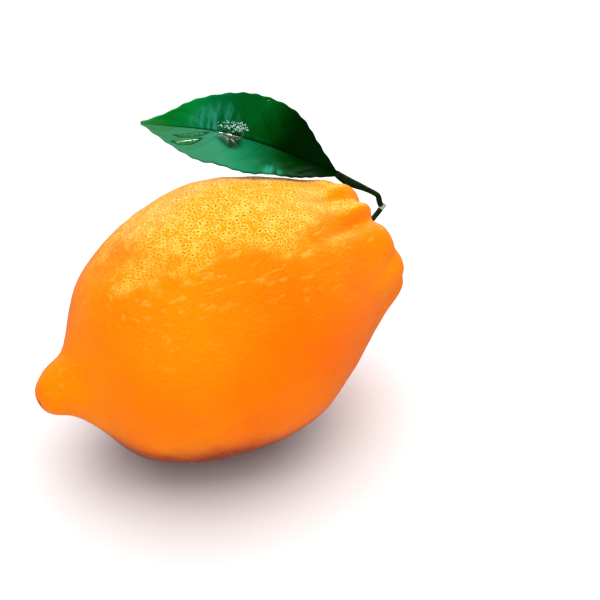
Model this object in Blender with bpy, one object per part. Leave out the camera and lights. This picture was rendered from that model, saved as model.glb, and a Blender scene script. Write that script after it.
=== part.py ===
"""A ripe lemon, picked with a short twig and one leaf, lying on its side.

Every piece is drawn in the fruit's own frame, in metres: x runs along the straight axis from
the nipple to the stem, with 0 at the widest place, y runs level across the fruit, and z points
away from the table. place() then tilts that frame, because the lemon lies with its stem end
raised, and sets it over the small flat spot that it rests on. The origin is that spot's middle.
"""
import math

import bmesh
import bpy
import numpy as np
from mathutils import Vector, noise

# How the fruit lies
AXIS_TILT = math.radians(14.3)
CENTRE_HEIGHT = 0.03055
CENTRE_FORWARD = 0.0010

# The rind's outline, from the nipple's tip to the floor of the stem's hollow: place, radius
OUTLINE = (
    (-0.0442, 0.0000),
    (-0.0435, 0.0028),
    (-0.0415, 0.0047),
    (-0.0392, 0.0060),
    (-0.0367, 0.0078),
    (-0.0343, 0.0103),
    (-0.0316, 0.0146),
    (-0.0276, 0.0198),
    (-0.0210, 0.0249),
    (-0.0120, 0.0290),
    (0.0000, 0.0314),
    (0.0110, 0.0310),
    (0.0205, 0.0274),
    (0.0300, 0.0224),
    (0.0372, 0.0180),
    (0.0420, 0.0153),
    (0.0439, 0.0107),
    (0.0424, 0.0064),
    (0.0400, 0.0043),
    (0.0396, 0.0000),
)
OUTLINE_SAMPLES = 3000
RIND_GRID = 26

# The nipple bends up, away from the table, and the rind sags a little where it starts
NIPPLE_RISE = 0.0045
NIPPLE_SIDE = math.radians(45)
NIPPLE_ROOT = -0.0300
NIPPLE_NECK = -0.0400
NIPPLE_SAG = 0.0009
NIPPLE_SAG_LENGTH = 0.0040

# Furrows that run down the shoulder from the stem's collar, and two ridges of negative depth:
# angle round the axis, depth, reach
FURROWS = (
    (14, 0.0010, 0.0060),
    (0, -0.0009, 0.0050),
    (-14, 0.0014, 0.0080),
    (-27, -0.0005, 0.0060),
    (-39, 0.0017, 0.0110),
    (-80, 0.0008, 0.0050),
    (-112, 0.0014, 0.0090),
    (-165, 0.0007, 0.0050),
    (150, 0.0012, 0.0080),
    (108, 0.0006, 0.0050),
    (60, 0.0013, 0.0085),
)
FURROW_WIDTH = 0.0021
COLLAR_PLACE = 0.0400

# The hollow inside the collar stays smooth, and the collar stands further out on one side
HOLLOW_RADIUS = 0.0050
COLLAR_SLANT = 0.10
COLLAR_SLANT_SIDE = math.radians(-120)
COLLAR_SLANT_FROM = 0.030

# Gentle unevenness of the whole rind: length and height of each set of waves
WAVES = (
    (0.0190, 0.00050),
    (0.0080, 0.00022),
    (0.0045, 0.00013),
)

# The fruit rests on a small flat spot and on three faint swellings, spread round its weight
SWELLINGS = ((-0.0125, 0.0), (0.0105, -0.0090), (0.0105, 0.0090))
SWELLING_WIDTH = 0.0040
FLAT_EDGE_LIFT = 0.00006

# The green button in the hollow
CALYX_BASE = 0.0401
CALYX_RADIUS = 0.0030
CALYX_LOBES = 5
CALYX_LOBE_DEPTH = 0.22
CALYX_THICKNESS = 0.0008
CALYX_CROWN = 0.0007
CALYX_SIDES = 40

# The twig, from the button to its cut end
TWIG_ROUTE = (
    (0.0420, 0.0001, 0.0001),
    (0.0448, 0.0009, 0.0009),
    (0.0477, 0.0015, 0.0017),
    (0.0509, 0.0024, 0.0026),
)
TWIG_RADII = (0.00095, 0.00068, 0.00062, 0.00072)
TWIG_RINGS = 14

# The leaf's stalk, from beside the twig to the blade
PETIOLE_ROUTE = (
    (0.0500, 0.0027, 0.0039),
    (0.0503, 0.0031, 0.0049),
    (0.0495, 0.0040, 0.0063),
    (0.0472, 0.0050, 0.0089),
    (0.0446, 0.0064, 0.0117),
    (0.0434, 0.0074, 0.0136),
)
PETIOLE_RADII = (0.00070, 0.00070, 0.00086, 0.00108, 0.00112, 0.00085)
PETIOLE_RINGS = 22
STALK_SIDES = 12

# The leaf blade: its midrib, the way its upper face looks, and its half widths
MIDRIB = (
    (0.0431, 0.0077, 0.0140),
    (0.0375, 0.0118, 0.0197),
    (0.0321, 0.0147, 0.0251),
    (0.0267, 0.0175, 0.0297),
    (0.0211, 0.0196, 0.0339),
    (0.0142, 0.0223, 0.0377),
    (0.0070, 0.0247, 0.0417),
)
LEAF_FACES = (-0.275, -0.697, 0.662)
HALF_WIDTHS = (
    (0.00, 0.0006),
    (0.09, 0.0036),
    (0.18, 0.0065),
    (0.34, 0.0103),
    (0.45, 0.0109),
    (0.57, 0.0101),
    (0.68, 0.0083),
    (0.78, 0.0064),
    (0.87, 0.0040),
    (0.94, 0.0019),
    (1.00, 0.0003),
)

# How far the two halves are folded up from the midrib, in radians, from the base to the tip
NEAR_FOLD = ((0.0, 0.66), (0.18, 0.88), (0.34, 0.93), (0.46, 0.77), (0.6, 0.62), (0.8, 0.08), (1.0, 0.0))
FAR_FOLD = ((0.0, 0.30), (0.35, 0.32), (0.6, 0.30), (0.8, 0.46), (0.9, 0.68), (1.0, 0.75))

# The blade's thickness, its rib, its toothed edge and the waves of its margins
LEAF_THICKNESS = 0.00070
MIDRIB_THICKNESS = 0.00060
MIDRIB_SPREAD = 0.12
LEAF_TEETH = 16
LEAF_TOOTH = 0.00022
LEAF_WAVES = 3.2
LEAF_WAVE_HEIGHT = 0.00055
LEAF_STEPS = 48
LEAF_COLUMNS = (-1.0, -0.78, -0.54, -0.3, -0.1, 0.0, 0.1, 0.3, 0.54, 0.78, 1.0)


# Curves and places

def smooth_curve(points, count, start=None, end=None):
    """Points of the smooth curve through points; start and end set its directions at its ends."""
    knots = np.array(points, float)
    gaps = np.linalg.norm(np.diff(knots, axis=0), axis=1)
    chords = np.diff(knots, axis=0) / gaps[:, None]
    system = np.eye(len(knots))
    wanted = np.zeros(knots.shape)
    for i in range(1, len(knots) - 1):
        before, after = gaps[i - 1], gaps[i]
        system[i, i - 1:i + 2] = after, 2 * (before + after), before
        wanted[i] = 3 * (after * chords[i - 1] + before * chords[i])
    if start is None:
        system[0, 1] = 0.5
        start = 1.5 * chords[0]
    if end is None:
        system[-1, -2] = 0.5
        end = 1.5 * chords[-1]
    wanted[0] = start
    wanted[-1] = end
    slopes = np.linalg.solve(system, wanted)

    knot_at = np.concatenate(([0.0], np.cumsum(gaps)))
    at = np.linspace(0.0, knot_at[-1], count)
    span = np.clip(np.searchsorted(knot_at, at, side="right") - 1, 0, len(gaps) - 1)
    gap = gaps[span][:, None]
    t = (at - knot_at[span])[:, None] / gap
    return ((2 * t**3 - 3 * t**2 + 1) * knots[span] + (3 * t**2 - 2 * t**3) * knots[span + 1]
            + (t**3 - 2 * t**2 + t) * gap * slopes[span] + (t**3 - t**2) * gap * slopes[span + 1])


def value_along(stations, at):
    """The smooth value at each place in at, through stations of place and value."""
    curve = smooth_curve(stations, 400)
    return np.interp(at, curve[:, 0], curve[:, 1])


def ease(low, high, value):
    """0 below low, 1 above high, and a smooth rise between."""
    t = np.clip((value - low) / (high - low), 0.0, 1.0)
    return t * t * (3 - 2 * t)


def unit(vectors):
    """The vectors at length 1."""
    return vectors / np.linalg.norm(vectors, axis=-1, keepdims=True)


def place(points):
    """Points of the fruit's own frame, where the tilted fruit has them on the table."""
    x, y, z = np.asarray(points, float).T
    forward = CENTRE_FORWARD + x * math.cos(AXIS_TILT) - z * math.sin(AXIS_TILT)
    height = CENTRE_HEIGHT + x * math.sin(AXIS_TILT) + z * math.cos(AXIS_TILT)
    return np.stack((forward, y, height), axis=1)


# The rind

def outline_by_turn():
    """The outline as a table: turn from 0 at the nipple's tip to pi, place, radius, and outward."""
    line = smooth_curve(OUTLINE, OUTLINE_SAMPLES, start=(0, 1), end=(0, -1))
    line[:, 1] = np.maximum(line[:, 1], 0.0)
    step = np.diff(line, axis=0)
    band = np.linalg.norm(step, axis=1) * (line[1:, 1] + line[:-1, 1])
    share = np.concatenate(([0.0], np.cumsum(band))) / band.sum()
    turn = np.arccos(np.clip(1 - 2 * share, -1, 1))
    outward = unit(np.gradient(line, axis=0))[:, ::-1] * (-1, 1)
    return turn, line[:, 0], line[:, 1], outward[:, 0], outward[:, 1]


def furrow_depth(along, radius, angle):
    """How far the collar's furrows are sunk at each point."""
    depth = np.zeros(len(along))
    for degrees, deepest, reach in FURROWS:
        apart = (angle - math.radians(degrees) + math.pi) % (2 * math.pi) - math.pi
        across = np.exp(-(apart * radius / FURROW_WIDTH)**2)
        down = np.exp(-((along - COLLAR_PLACE) / reach)**2)
        depth += deepest * across * down
    return depth * ease(HOLLOW_RADIUS, 2 * HOLLOW_RADIUS, radius)


def wave_height(points):
    """The rind's unevenness at each point."""
    height = np.zeros(len(points))
    for length, tall in WAVES:
        height += [tall * noise.noise(Vector(point) / length) for point in points]
    return height


def rind_points(directions):
    """The rind's points in the fruit's frame, one for each unit direction from its middle."""
    turn, place_at, radius_at, out_along_at, out_radius_at = outline_by_turn()
    at = np.arccos(np.clip(-directions[:, 0], -1, 1))
    along = np.interp(at, turn, place_at)
    radius = np.interp(at, turn, radius_at)
    out_along = np.interp(at, turn, out_along_at)
    out_radius = np.interp(at, turn, out_radius_at)
    angle = np.arctan2(directions[:, 1], directions[:, 2])
    round_y = np.sin(angle)
    round_z = np.cos(angle)

    smooth = np.stack((along, radius * round_y, radius * round_z), axis=1)
    calm = ease(0.0, 2 * HOLLOW_RADIUS, radius)
    lift = calm * wave_height(smooth) - furrow_depth(along, radius, angle)
    slant = COLLAR_SLANT * radius * np.cos(angle - COLLAR_SLANT_SIDE)
    slant *= ease(COLLAR_SLANT_FROM, COLLAR_PLACE, along) * ease(HOLLOW_RADIUS, 2 * HOLLOW_RADIUS, radius)
    bend = NIPPLE_RISE * ease(-NIPPLE_ROOT, -NIPPLE_NECK, -along)
    bend -= NIPPLE_SAG * np.exp(-((along - NIPPLE_ROOT) / NIPPLE_SAG_LENGTH)**2)

    x = along + out_along * lift + slant
    y = (radius + out_radius * lift) * round_y + bend * math.sin(NIPPLE_SIDE)
    z = (radius + out_radius * lift) * round_z + bend * math.cos(NIPPLE_SIDE)
    return np.stack((x, y, z), axis=1)


def settle(points):
    """The rind set on the table: its swellings touch it, and between them it is flat."""
    x, y, z = points.T.copy()
    below = z < CENTRE_HEIGHT / 2
    feet = []
    for foot_x, foot_y in SWELLINGS:
        apart = np.hypot(x - foot_x, y - foot_y)
        feet.append(np.argmin(np.where(below, apart, np.inf)))
        z -= z[feet[-1]] * below * np.exp(-(apart / SWELLING_WIDTH)**2)

    between = np.ones(len(points), bool)
    for first, second in zip(feet, feet[1:] + feet[:1]):
        inward = (x[second] - x[first]) * (y - y[first]) - (y[second] - y[first]) * (x - x[first])
        between &= inward > 0
    z = np.maximum(z, np.where(between, 0.0, FLAT_EDGE_LIFT))
    z[feet] = 0.0
    return np.stack((x, y, z), axis=1)


def make_fruit():
    """The whole fruit: a ball of even squares drawn out to the outline, and flat where it rests."""
    ball = bmesh.new()
    bmesh.ops.create_cube(ball, size=2.0)
    bmesh.ops.subdivide_edges(ball, edges=ball.edges, cuts=RIND_GRID - 1, use_grid_fill=True)
    cube = np.array([vertex.co for vertex in ball.verts])
    rind = settle(place(rind_points(unit(np.tan(cube * math.pi / 4)))))
    for vertex, point in zip(ball.verts, rind):
        vertex.co = point
    mesh = bpy.data.meshes.new("fruit")
    ball.to_mesh(mesh)
    ball.free()
    return mesh


# The stem's pieces

def mesh_of_rings(name, rings):
    """A closed solid through rings of points, with a flat face over the first and the last."""
    shape = bmesh.new()
    loops = [[shape.verts.new(point) for point in ring] for ring in rings]
    for lower, upper in zip(loops, loops[1:]):
        for i in range(len(lower)):
            j = (i + 1) % len(lower)
            shape.faces.new((lower[i], lower[j], upper[j], upper[i]))
    shape.faces.new(loops[0][::-1])
    shape.faces.new(loops[-1])
    bmesh.ops.recalc_face_normals(shape, faces=shape.faces)
    mesh = bpy.data.meshes.new(name)
    shape.to_mesh(mesh)
    shape.free()
    return mesh


def stalk(name, route, radii, count):
    """A round stalk of changing thickness along a smooth route."""
    centres = smooth_curve(route, count)
    stations = list(zip(np.linspace(0, 1, len(radii)), radii))
    thickness = value_along(stations, np.linspace(0, 1, count))
    forward = unit(np.gradient(centres, axis=0))
    side = np.array((0.0, 1.0, 0.0))
    rings = []
    for centre, ahead, radius in zip(centres, forward, thickness):
        side = unit(side - ahead * (side @ ahead))
        other = np.cross(ahead, side)
        turns = np.arange(STALK_SIDES) * 2 * math.pi / STALK_SIDES
        rings.append(centre + radius * (np.outer(np.cos(turns), side) + np.outer(np.sin(turns), other)))
    return mesh_of_rings(name, [place(ring) for ring in rings])


def make_calyx():
    """The green button: a star of five soft lobes, crowned in the middle."""
    turns = np.arange(CALYX_SIDES) * 2 * math.pi / CALYX_SIDES
    lobes = 1 - CALYX_LOBE_DEPTH * (0.5 - 0.5 * np.cos(CALYX_LOBES * turns))
    shares = ((0.93, 0.0), (1.0, 0.35), (0.95, 0.85), (0.72, 1.0), (0.42, 1.35), (0.2, 1.85))
    rings = []
    for share, height in shares:
        radius = CALYX_RADIUS * share * lobes**(share**2)
        rise = CALYX_THICKNESS * min(height, 1.0) + CALYX_CROWN * max(height - 1.0, 0.0)
        along = np.full(CALYX_SIDES, CALYX_BASE + rise)
        rings.append(place(np.stack((along, radius * np.sin(turns), radius * np.cos(turns)), axis=1)))
    return mesh_of_rings("calyx", rings)


# The leaf

def leaf_faces():
    """The blade's upper and lower face, as rows of points from its base to its tip."""
    steps = np.linspace(0.0, 1.0, LEAF_STEPS + 1)
    midrib = smooth_curve(MIDRIB, LEAF_STEPS + 1)
    ahead = unit(np.gradient(midrib, axis=0))
    face = np.array(LEAF_FACES)
    face = unit(face - ahead * (ahead @ face)[:, None])
    far_side = np.cross(ahead, face)
    half_width = value_along(HALF_WIDTHS, steps)
    half_width -= LEAF_TOOTH * (0.5 - 0.5 * np.cos(2 * math.pi * LEAF_TEETH * steps)) * ease(0, 0.1, steps)
    near_fold = value_along(NEAR_FOLD, steps)
    far_fold = value_along(FAR_FOLD, steps)
    margin_room = ease(0.0, 0.004, half_width)
    rib_fade = 1 - 0.7 * steps

    top = []
    bottom = []
    for share in LEAF_COLUMNS:
        side = np.sign(share)
        fold = (far_fold if share > 0 else near_fold)[:, None]
        out = (abs(share) * half_width)[:, None]
        wave = share**2 * np.sin(2 * math.pi * LEAF_WAVES * steps + 2.0 * side) * margin_room
        lift = out * np.sin(fold) + LEAF_WAVE_HEIGHT * wave[:, None]
        upper = midrib + face * lift + far_side * side * out * np.cos(fold)
        up = unit(face * np.cos(fold * abs(side)) - far_side * side * np.sin(fold))
        rib = MIDRIB_THICKNESS * math.exp(-(share / MIDRIB_SPREAD)**2) * rib_fade
        top.append(upper)
        bottom.append(upper - up * (LEAF_THICKNESS + rib)[:, None])
    return np.stack(top, axis=1), np.stack(bottom, axis=1)


def make_leaf():
    """The blade: both faces split into triangles alike, closed by a strip round the edge."""
    top, bottom = leaf_faces()
    rows, width = top.shape[:2]
    points = np.concatenate((place(top.reshape(-1, 3)), place(bottom.reshape(-1, 3))))
    below = rows * width
    faces = []
    for i in range(rows - 1):
        for j in range(width - 1):
            a, b = i * width + j, i * width + j + 1
            c, d = b + width, a + width
            faces += [(a, c, d), (a, b, c)]
            faces += [(a + below, d + below, c + below), (a + below, c + below, b + below)]
    edge = list(range(width))
    edge += [i * width + width - 1 for i in range(1, rows)]
    edge += [(rows - 1) * width + j for j in range(width - 2, -1, -1)]
    edge += [i * width for i in range(rows - 2, 0, -1)]
    for a, b in zip(edge, edge[1:] + edge[:1]):
        faces += [(a, b + below, b), (a, a + below, b + below)]
    mesh = bpy.data.meshes.new("leaf_blade")
    mesh.from_pydata(points.tolist(), [], faces)
    return mesh


# Finishes and the finished objects

def finish(name, colour, roughness):
    """A plain finish of one colour."""
    material = bpy.data.materials.new(name)
    material.use_nodes = True
    surface = material.node_tree.nodes["Principled BSDF"]
    surface.inputs["Base Color"].default_value = (*colour, 1.0)
    surface.inputs["Roughness"].default_value = roughness
    surface.inputs["Metallic"].default_value = 0.0
    return material


def add_object(name, mesh, material):
    """One object of the part, shaded smooth."""
    mesh.update()
    mesh.shade_smooth()
    mesh.materials.append(material)
    bpy.context.scene.collection.objects.link(bpy.data.objects.new(name, mesh))


def main():
    for old in list(bpy.data.objects):
        bpy.data.objects.remove(old)
    add_object("fruit", make_fruit(), finish("ripe_rind", (0.90, 0.25, 0.008), 0.38))
    add_object("calyx", make_calyx(), finish("green_button", (0.12, 0.20, 0.03), 0.7))
    add_object("twig", stalk("twig", TWIG_ROUTE, TWIG_RADII, TWIG_RINGS),
               finish("twig_bark", (0.05, 0.08, 0.02), 0.65))
    add_object("petiole", stalk("petiole", PETIOLE_ROUTE, PETIOLE_RADII, PETIOLE_RINGS),
               finish("leaf_stalk", (0.04, 0.09, 0.02), 0.5))
    add_object("leaf_blade", make_leaf(), finish("leaf_green", (0.015, 0.14, 0.05), 0.3))


main()
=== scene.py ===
# %% [markdown]
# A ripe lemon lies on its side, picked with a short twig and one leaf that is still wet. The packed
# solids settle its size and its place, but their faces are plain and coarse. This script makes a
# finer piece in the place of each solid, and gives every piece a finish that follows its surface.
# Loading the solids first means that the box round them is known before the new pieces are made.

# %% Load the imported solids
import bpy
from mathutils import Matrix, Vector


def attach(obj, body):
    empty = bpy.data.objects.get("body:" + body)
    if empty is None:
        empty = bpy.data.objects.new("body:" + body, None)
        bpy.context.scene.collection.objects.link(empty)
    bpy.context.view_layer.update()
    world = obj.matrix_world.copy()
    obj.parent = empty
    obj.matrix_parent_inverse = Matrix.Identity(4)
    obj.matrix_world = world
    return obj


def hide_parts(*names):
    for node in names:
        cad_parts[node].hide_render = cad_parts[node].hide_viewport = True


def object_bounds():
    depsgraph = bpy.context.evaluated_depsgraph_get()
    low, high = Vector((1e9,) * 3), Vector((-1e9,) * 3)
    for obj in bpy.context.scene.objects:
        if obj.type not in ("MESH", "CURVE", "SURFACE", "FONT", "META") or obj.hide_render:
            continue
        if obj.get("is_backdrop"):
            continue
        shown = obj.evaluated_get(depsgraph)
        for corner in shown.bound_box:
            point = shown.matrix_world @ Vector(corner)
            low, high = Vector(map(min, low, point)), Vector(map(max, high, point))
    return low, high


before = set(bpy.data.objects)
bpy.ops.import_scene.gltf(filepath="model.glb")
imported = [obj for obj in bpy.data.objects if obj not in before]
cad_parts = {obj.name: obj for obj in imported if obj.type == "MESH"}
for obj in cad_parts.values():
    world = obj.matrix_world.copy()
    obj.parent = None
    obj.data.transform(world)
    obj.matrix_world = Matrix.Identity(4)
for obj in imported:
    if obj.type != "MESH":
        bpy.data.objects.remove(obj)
cad_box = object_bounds()
for name in sorted(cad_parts):
    print("solid", name, "with", len(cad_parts[name].data.polygons), "faces")

# %% [markdown]
# Everything is in metres, so a millimetre is written once and used as a unit. The fruit is easiest
# to draw in its own frame: x runs along its straight axis from the nipple to the stem, with 0 at
# the widest place, y runs level across it, and z points away from the table. A lemon on its side
# lies with its stem end raised, so place() tilts that frame and sets it on the table. The solids
# are made by the same rule, which is why their numbers come back here.

# %% Units, libraries and how the fruit lies
import math

import bmesh
import bpy
import numpy as np
from mathutils import Vector, noise

MM = 0.001
AXIS_TILT = math.radians(14.3)
CENTRE_HEIGHT = 30.55 * MM
CENTRE_FORWARD = 1.0 * MM


def place(points):
    """Points of the fruit's own frame, where the tilted fruit has them on the table."""
    x, y, z = np.asarray(points, float).T
    forward = CENTRE_FORWARD + x * math.cos(AXIS_TILT) - z * math.sin(AXIS_TILT)
    height = CENTRE_HEIGHT + x * math.sin(AXIS_TILT) + z * math.cos(AXIS_TILT)
    return np.stack((forward, y, height), axis=1)


print("the fruit's middle is", round(CENTRE_HEIGHT / MM, 2), "mm above the table")

# %% [markdown]
# Grown things have no straight lines. Each outline here is a short list of places that matter, and
# one smooth curve runs through them. The curve is a spline whose slopes are found together, so that
# it bends evenly from place to place, and its ends can be given a direction.

# %% Smooth curves through a few places
CURVE_SAMPLES = 400


def smooth_curve(points, count, start=None, end=None):
    """Points of the smooth curve through points; start and end set its directions at its ends."""
    knots = np.array(points, float)
    gaps = np.linalg.norm(np.diff(knots, axis=0), axis=1)
    chords = np.diff(knots, axis=0) / gaps[:, None]
    system = np.eye(len(knots))
    wanted = np.zeros(knots.shape)
    for i in range(1, len(knots) - 1):
        before, after = gaps[i - 1], gaps[i]
        system[i, i - 1:i + 2] = after, 2 * (before + after), before
        wanted[i] = 3 * (after * chords[i - 1] + before * chords[i])
    if start is None:
        system[0, 1] = 0.5
        start = 1.5 * chords[0]
    if end is None:
        system[-1, -2] = 0.5
        end = 1.5 * chords[-1]
    wanted[0] = start
    wanted[-1] = end
    slopes = np.linalg.solve(system, wanted)

    knot_at = np.concatenate(([0.0], np.cumsum(gaps)))
    at = np.linspace(0.0, knot_at[-1], count)
    span = np.clip(np.searchsorted(knot_at, at, side="right") - 1, 0, len(gaps) - 1)
    gap = gaps[span][:, None]
    t = (at - knot_at[span])[:, None] / gap
    return ((2 * t**3 - 3 * t**2 + 1) * knots[span] + (3 * t**2 - 2 * t**3) * knots[span + 1]
            + (t**3 - 2 * t**2 + t) * gap * slopes[span] + (t**3 - t**2) * gap * slopes[span + 1])


def value_along(stations, at):
    """The smooth value at each place in at, through stations of place and value."""
    curve = smooth_curve(stations, CURVE_SAMPLES)
    return np.interp(at, curve[:, 0], curve[:, 1])


def ease(low, high, value):
    """0 below low, 1 above high, and a smooth rise between."""
    t = np.clip((value - low) / (high - low), 0.0, 1.0)
    return t * t * (3 - 2 * t)


def unit(vectors):
    """The vectors at length 1."""
    return vectors / np.linalg.norm(vectors, axis=-1, keepdims=True)


print("curves are ready")

# %% [markdown]
# Shaders and Geometry Nodes are both trees of small nodes, and many nodes do the same in both. One
# short helper class writes either kind: it adds a node, feeds each of its sockets with a number or
# with another node's output, and has a word for the sums that come up again and again.

# %% A helper that writes node trees
class Nodes:
    """Adds nodes to one tree and links them."""

    def __init__(self, tree):
        self.tree = tree

    def add(self, kind, inputs=(), **settings):
        """A new node with its settings, and with values or links for its inputs."""
        node = self.tree.nodes.new(kind)
        for name, value in settings.items():
            setattr(node, name, value)
        for name, value in dict(inputs).items():
            self.feed(node.inputs[name], value)
        return node

    def feed(self, socket, value):
        """Links an output to the socket, or sets the socket's own value."""
        if isinstance(value, bpy.types.NodeSocket):
            self.tree.links.new(value, socket)
        else:
            socket.default_value = value

    def fill(self, node, *values):
        """Feeds the node's sockets that are in use, in their order, and gives its result."""
        for socket, value in zip([socket for socket in node.inputs if socket.enabled], values):
            self.feed(socket, value)
        return [socket for socket in node.outputs if socket.enabled][0]

    def maths(self, operation, *values):
        """The result of one sum."""
        node = self.add("ShaderNodeMath", operation=operation)
        for socket, value in zip(node.inputs, values):
            self.feed(socket, value)
        return node.outputs["Value"]

    def times(self, value, *factors):
        """The values multiplied, one after another."""
        for factor in factors:
            value = self.maths("MULTIPLY", value, factor)
        return value

    def plus(self, first, second):
        """Two values added."""
        return self.maths("ADD", first, second)

    def minus(self, first, second):
        """The first value less the second."""
        return self.maths("SUBTRACT", first, second)

    def times_plus(self, value, factor, more):
        """A value times a factor, and more added."""
        return self.maths("MULTIPLY_ADD", value, factor, more)

    def size_of(self, value):
        """A value without its sign."""
        return self.maths("ABSOLUTE", value)

    def vector(self, operation, first, second=None, scale=None):
        """The result of one sum on vectors."""
        node = self.add("ShaderNodeVectorMath", operation=operation)
        self.feed(node.inputs[0], first)
        if second is not None:
            self.feed(node.inputs[1], second)
        if scale is not None:
            self.feed(node.inputs["Scale"], scale)
        return node.outputs["Value" if operation in ("DISTANCE", "LENGTH") else "Vector"]

    def spot(self, x=0.0, y=0.0, z=0.0):
        """A place made of its three numbers."""
        return self.add("ShaderNodeCombineXYZ", {"X": x, "Y": y, "Z": z}).outputs[0]

    def split(self, vector):
        """The three numbers of a place, as X, Y and Z."""
        return self.add("ShaderNodeSeparateXYZ", {"Vector": vector}).outputs

    def rise(self, value, low, high, start=0.0, end=1.0):
        """A value that goes smoothly from start to end while value goes from low to high."""
        node = self.add("ShaderNodeMapRange", interpolation_type="SMOOTHSTEP")
        for socket, number in zip(node.inputs, (value, low, high, start, end)):
            self.feed(socket, number)
        return node.outputs["Result"]

    def fall(self, value, low, high):
        """A value that goes smoothly from 1 to 0 while value goes from low to high."""
        return self.rise(value, low, high, 1.0, 0.0)

    def noise(self, where, scale, detail=2.0):
        """Soft random values from 0 to 1, about 1 / scale metres apart."""
        inputs = {"Vector": where, "Scale": scale, "Detail": detail}
        return self.add("ShaderNodeTexNoise", inputs).outputs["Fac"]

    def clouds(self, where, scale, detail, *reach):
        """Soft random patches: noise of one scale and detail, with the reach of a rise."""
        return self.rise(self.noise(where, scale, detail), *reach)

    def grain(self, where, scale, height, detail=3.0):
        """Fine noise of that height, for a bump."""
        return self.times(self.noise(where, scale, detail), height)

    def own(self, name):
        """A number that the mesh stores for each of its points."""
        if self.tree.type == "SHADER":
            return self.add("ShaderNodeAttribute", attribute_name=name).outputs["Fac"]
        return self.add("GeometryNodeInputNamedAttribute", {"Name": name}).outputs["Attribute"]

    def blend(self, share, first, second):
        """The colour that goes from first to second as share goes from 0 to 1."""
        mix = self.add("ShaderNodeMix", data_type="RGBA")
        for socket, value in ((mix.inputs[0], share), (mix.inputs[6], first), (mix.inputs[7], second)):
            self.feed(socket, (*value, 1.0) if isinstance(value, tuple) else value)
        return mix.outputs[2]


print("the tree helper is ready")

# %% [markdown]
# A Geometry Nodes tree is a recipe: it takes a rough mesh and a few named sizes, and gives the
# finished mesh. A group's inputs are made first, by name. To run the recipe, a host object gets the
# tree as a modifier, each size is set by its socket's identifier, and the evaluated result is
# copied into a plain mesh. The host goes away, so no modifier is left on the finished piece.

# %% Start a recipe and run it
SOCKETS = {float: "NodeSocketFloat", int: "NodeSocketInt", tuple: "NodeSocketVector"}


def recipe(name, sizes, objects=(), materials=("Material",)):
    """A new geometry tree with named inputs. Returns its helper, the input node and the output node."""
    tree = bpy.data.node_groups.new(name, "GeometryNodeTree")
    tree.interface.new_socket("Geometry", in_out="INPUT", socket_type="NodeSocketGeometry")
    for size, value in sizes.items():
        socket = tree.interface.new_socket(size, in_out="INPUT", socket_type=SOCKETS[type(value)])
        socket.default_value = value
    for things, kind in ((objects, "NodeSocketObject"), (materials, "NodeSocketMaterial")):
        for thing in things:
            tree.interface.new_socket(thing, in_out="INPUT", socket_type=kind)
    tree.interface.new_socket("Geometry", in_out="OUTPUT", socket_type="NodeSocketGeometry")
    nodes = Nodes(tree)
    return nodes, nodes.add("NodeGroupInput").outputs, nodes.add("NodeGroupOutput")


def remember(nodes, geometry, name, value):
    """The geometry with a value stored on its points under a name."""
    inputs = {"Geometry": geometry, "Name": name, "Value": value}
    return nodes.add("GeometryNodeStoreNamedAttribute", inputs).outputs[0]


def push_out(nodes, geometry, height):
    """The geometry with each point moved along its normal by height."""
    normal = nodes.add("GeometryNodeInputNormal").outputs["Normal"]
    inputs = {"Geometry": geometry, "Offset": nodes.vector("SCALE", normal, scale=height)}
    return nodes.add("GeometryNodeSetPosition", inputs).outputs[0]


def finish_recipe(nodes, geometry, material, end):
    """Ends a tree: real geometry in place of instances, and a material on all of it."""
    real = nodes.add("GeometryNodeRealizeInstances", {"Geometry": geometry})
    painted = nodes.add("GeometryNodeSetMaterial", {"Geometry": real.outputs[0], "Material": material})
    nodes.feed(end.inputs["Geometry"], painted.outputs[0])


def run_recipe(name, mesh, tree, values):
    """The plain mesh object that the tree makes from mesh."""
    host = bpy.data.objects.new(name + "_host", mesh)
    bpy.context.scene.collection.objects.link(host)
    modifier = host.modifiers.new("Recipe", "NODES")
    modifier.node_group = tree
    for item in tree.interface.items_tree:
        if item.in_out == "INPUT" and item.name in values:
            modifier[item.identifier] = values[item.name]
    graph = bpy.context.evaluated_depsgraph_get()
    made = bpy.data.meshes.new_from_object(host.evaluated_get(graph), preserve_all_data_layers=True,
                                           depsgraph=graph)
    bpy.data.objects.remove(host)
    return keep_piece(name, made)


def keep_piece(name, mesh):
    """A finished object at the origin, shaded smooth, with a note of its size."""
    mesh.name = name
    mesh.shade_smooth()
    piece = bpy.data.objects.new(name, mesh)
    bpy.context.scene.collection.objects.link(piece)
    mesh.calc_loop_triangles()
    print("made", name, "with", len(mesh.loop_triangles), "triangles")
    return piece


def give_values(mesh, **values):
    """Stores one number for each point of the mesh under each name."""
    for name, numbers in values.items():
        layer = mesh.attributes.new(name, "FLOAT", "POINT")
        layer.data.foreach_set("value", np.asarray(numbers, np.float32))


print("recipes are ready")

# %% [markdown]
# The camera and the light come early, because every later step is judged through them. The lemon
# is seen from a little above and from its nipple's side, through a long lens that keeps the shape
# true. Three wide soft panels light it: one overhead, one behind that brightens the far rim, and one
# in front that fills the near side. A waxy skin mirrors the room at its rims, so the room is dim
# and the floor, plain, pale and matt, is hidden from mirrored rays. Otherwise the rims turn white.

# %% Set up the camera
CAMERA_AZIMUTH = math.radians(-31.7)
CAMERA_ELEVATION = math.radians(35.0)
CAMERA_DISTANCE = 0.450
CAMERA_LENS = 116.56
CAMERA_SENSOR = 36.0
AIM_RIGHT = 20.15 * MM
AIM_UP = 5.33 * MM

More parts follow.
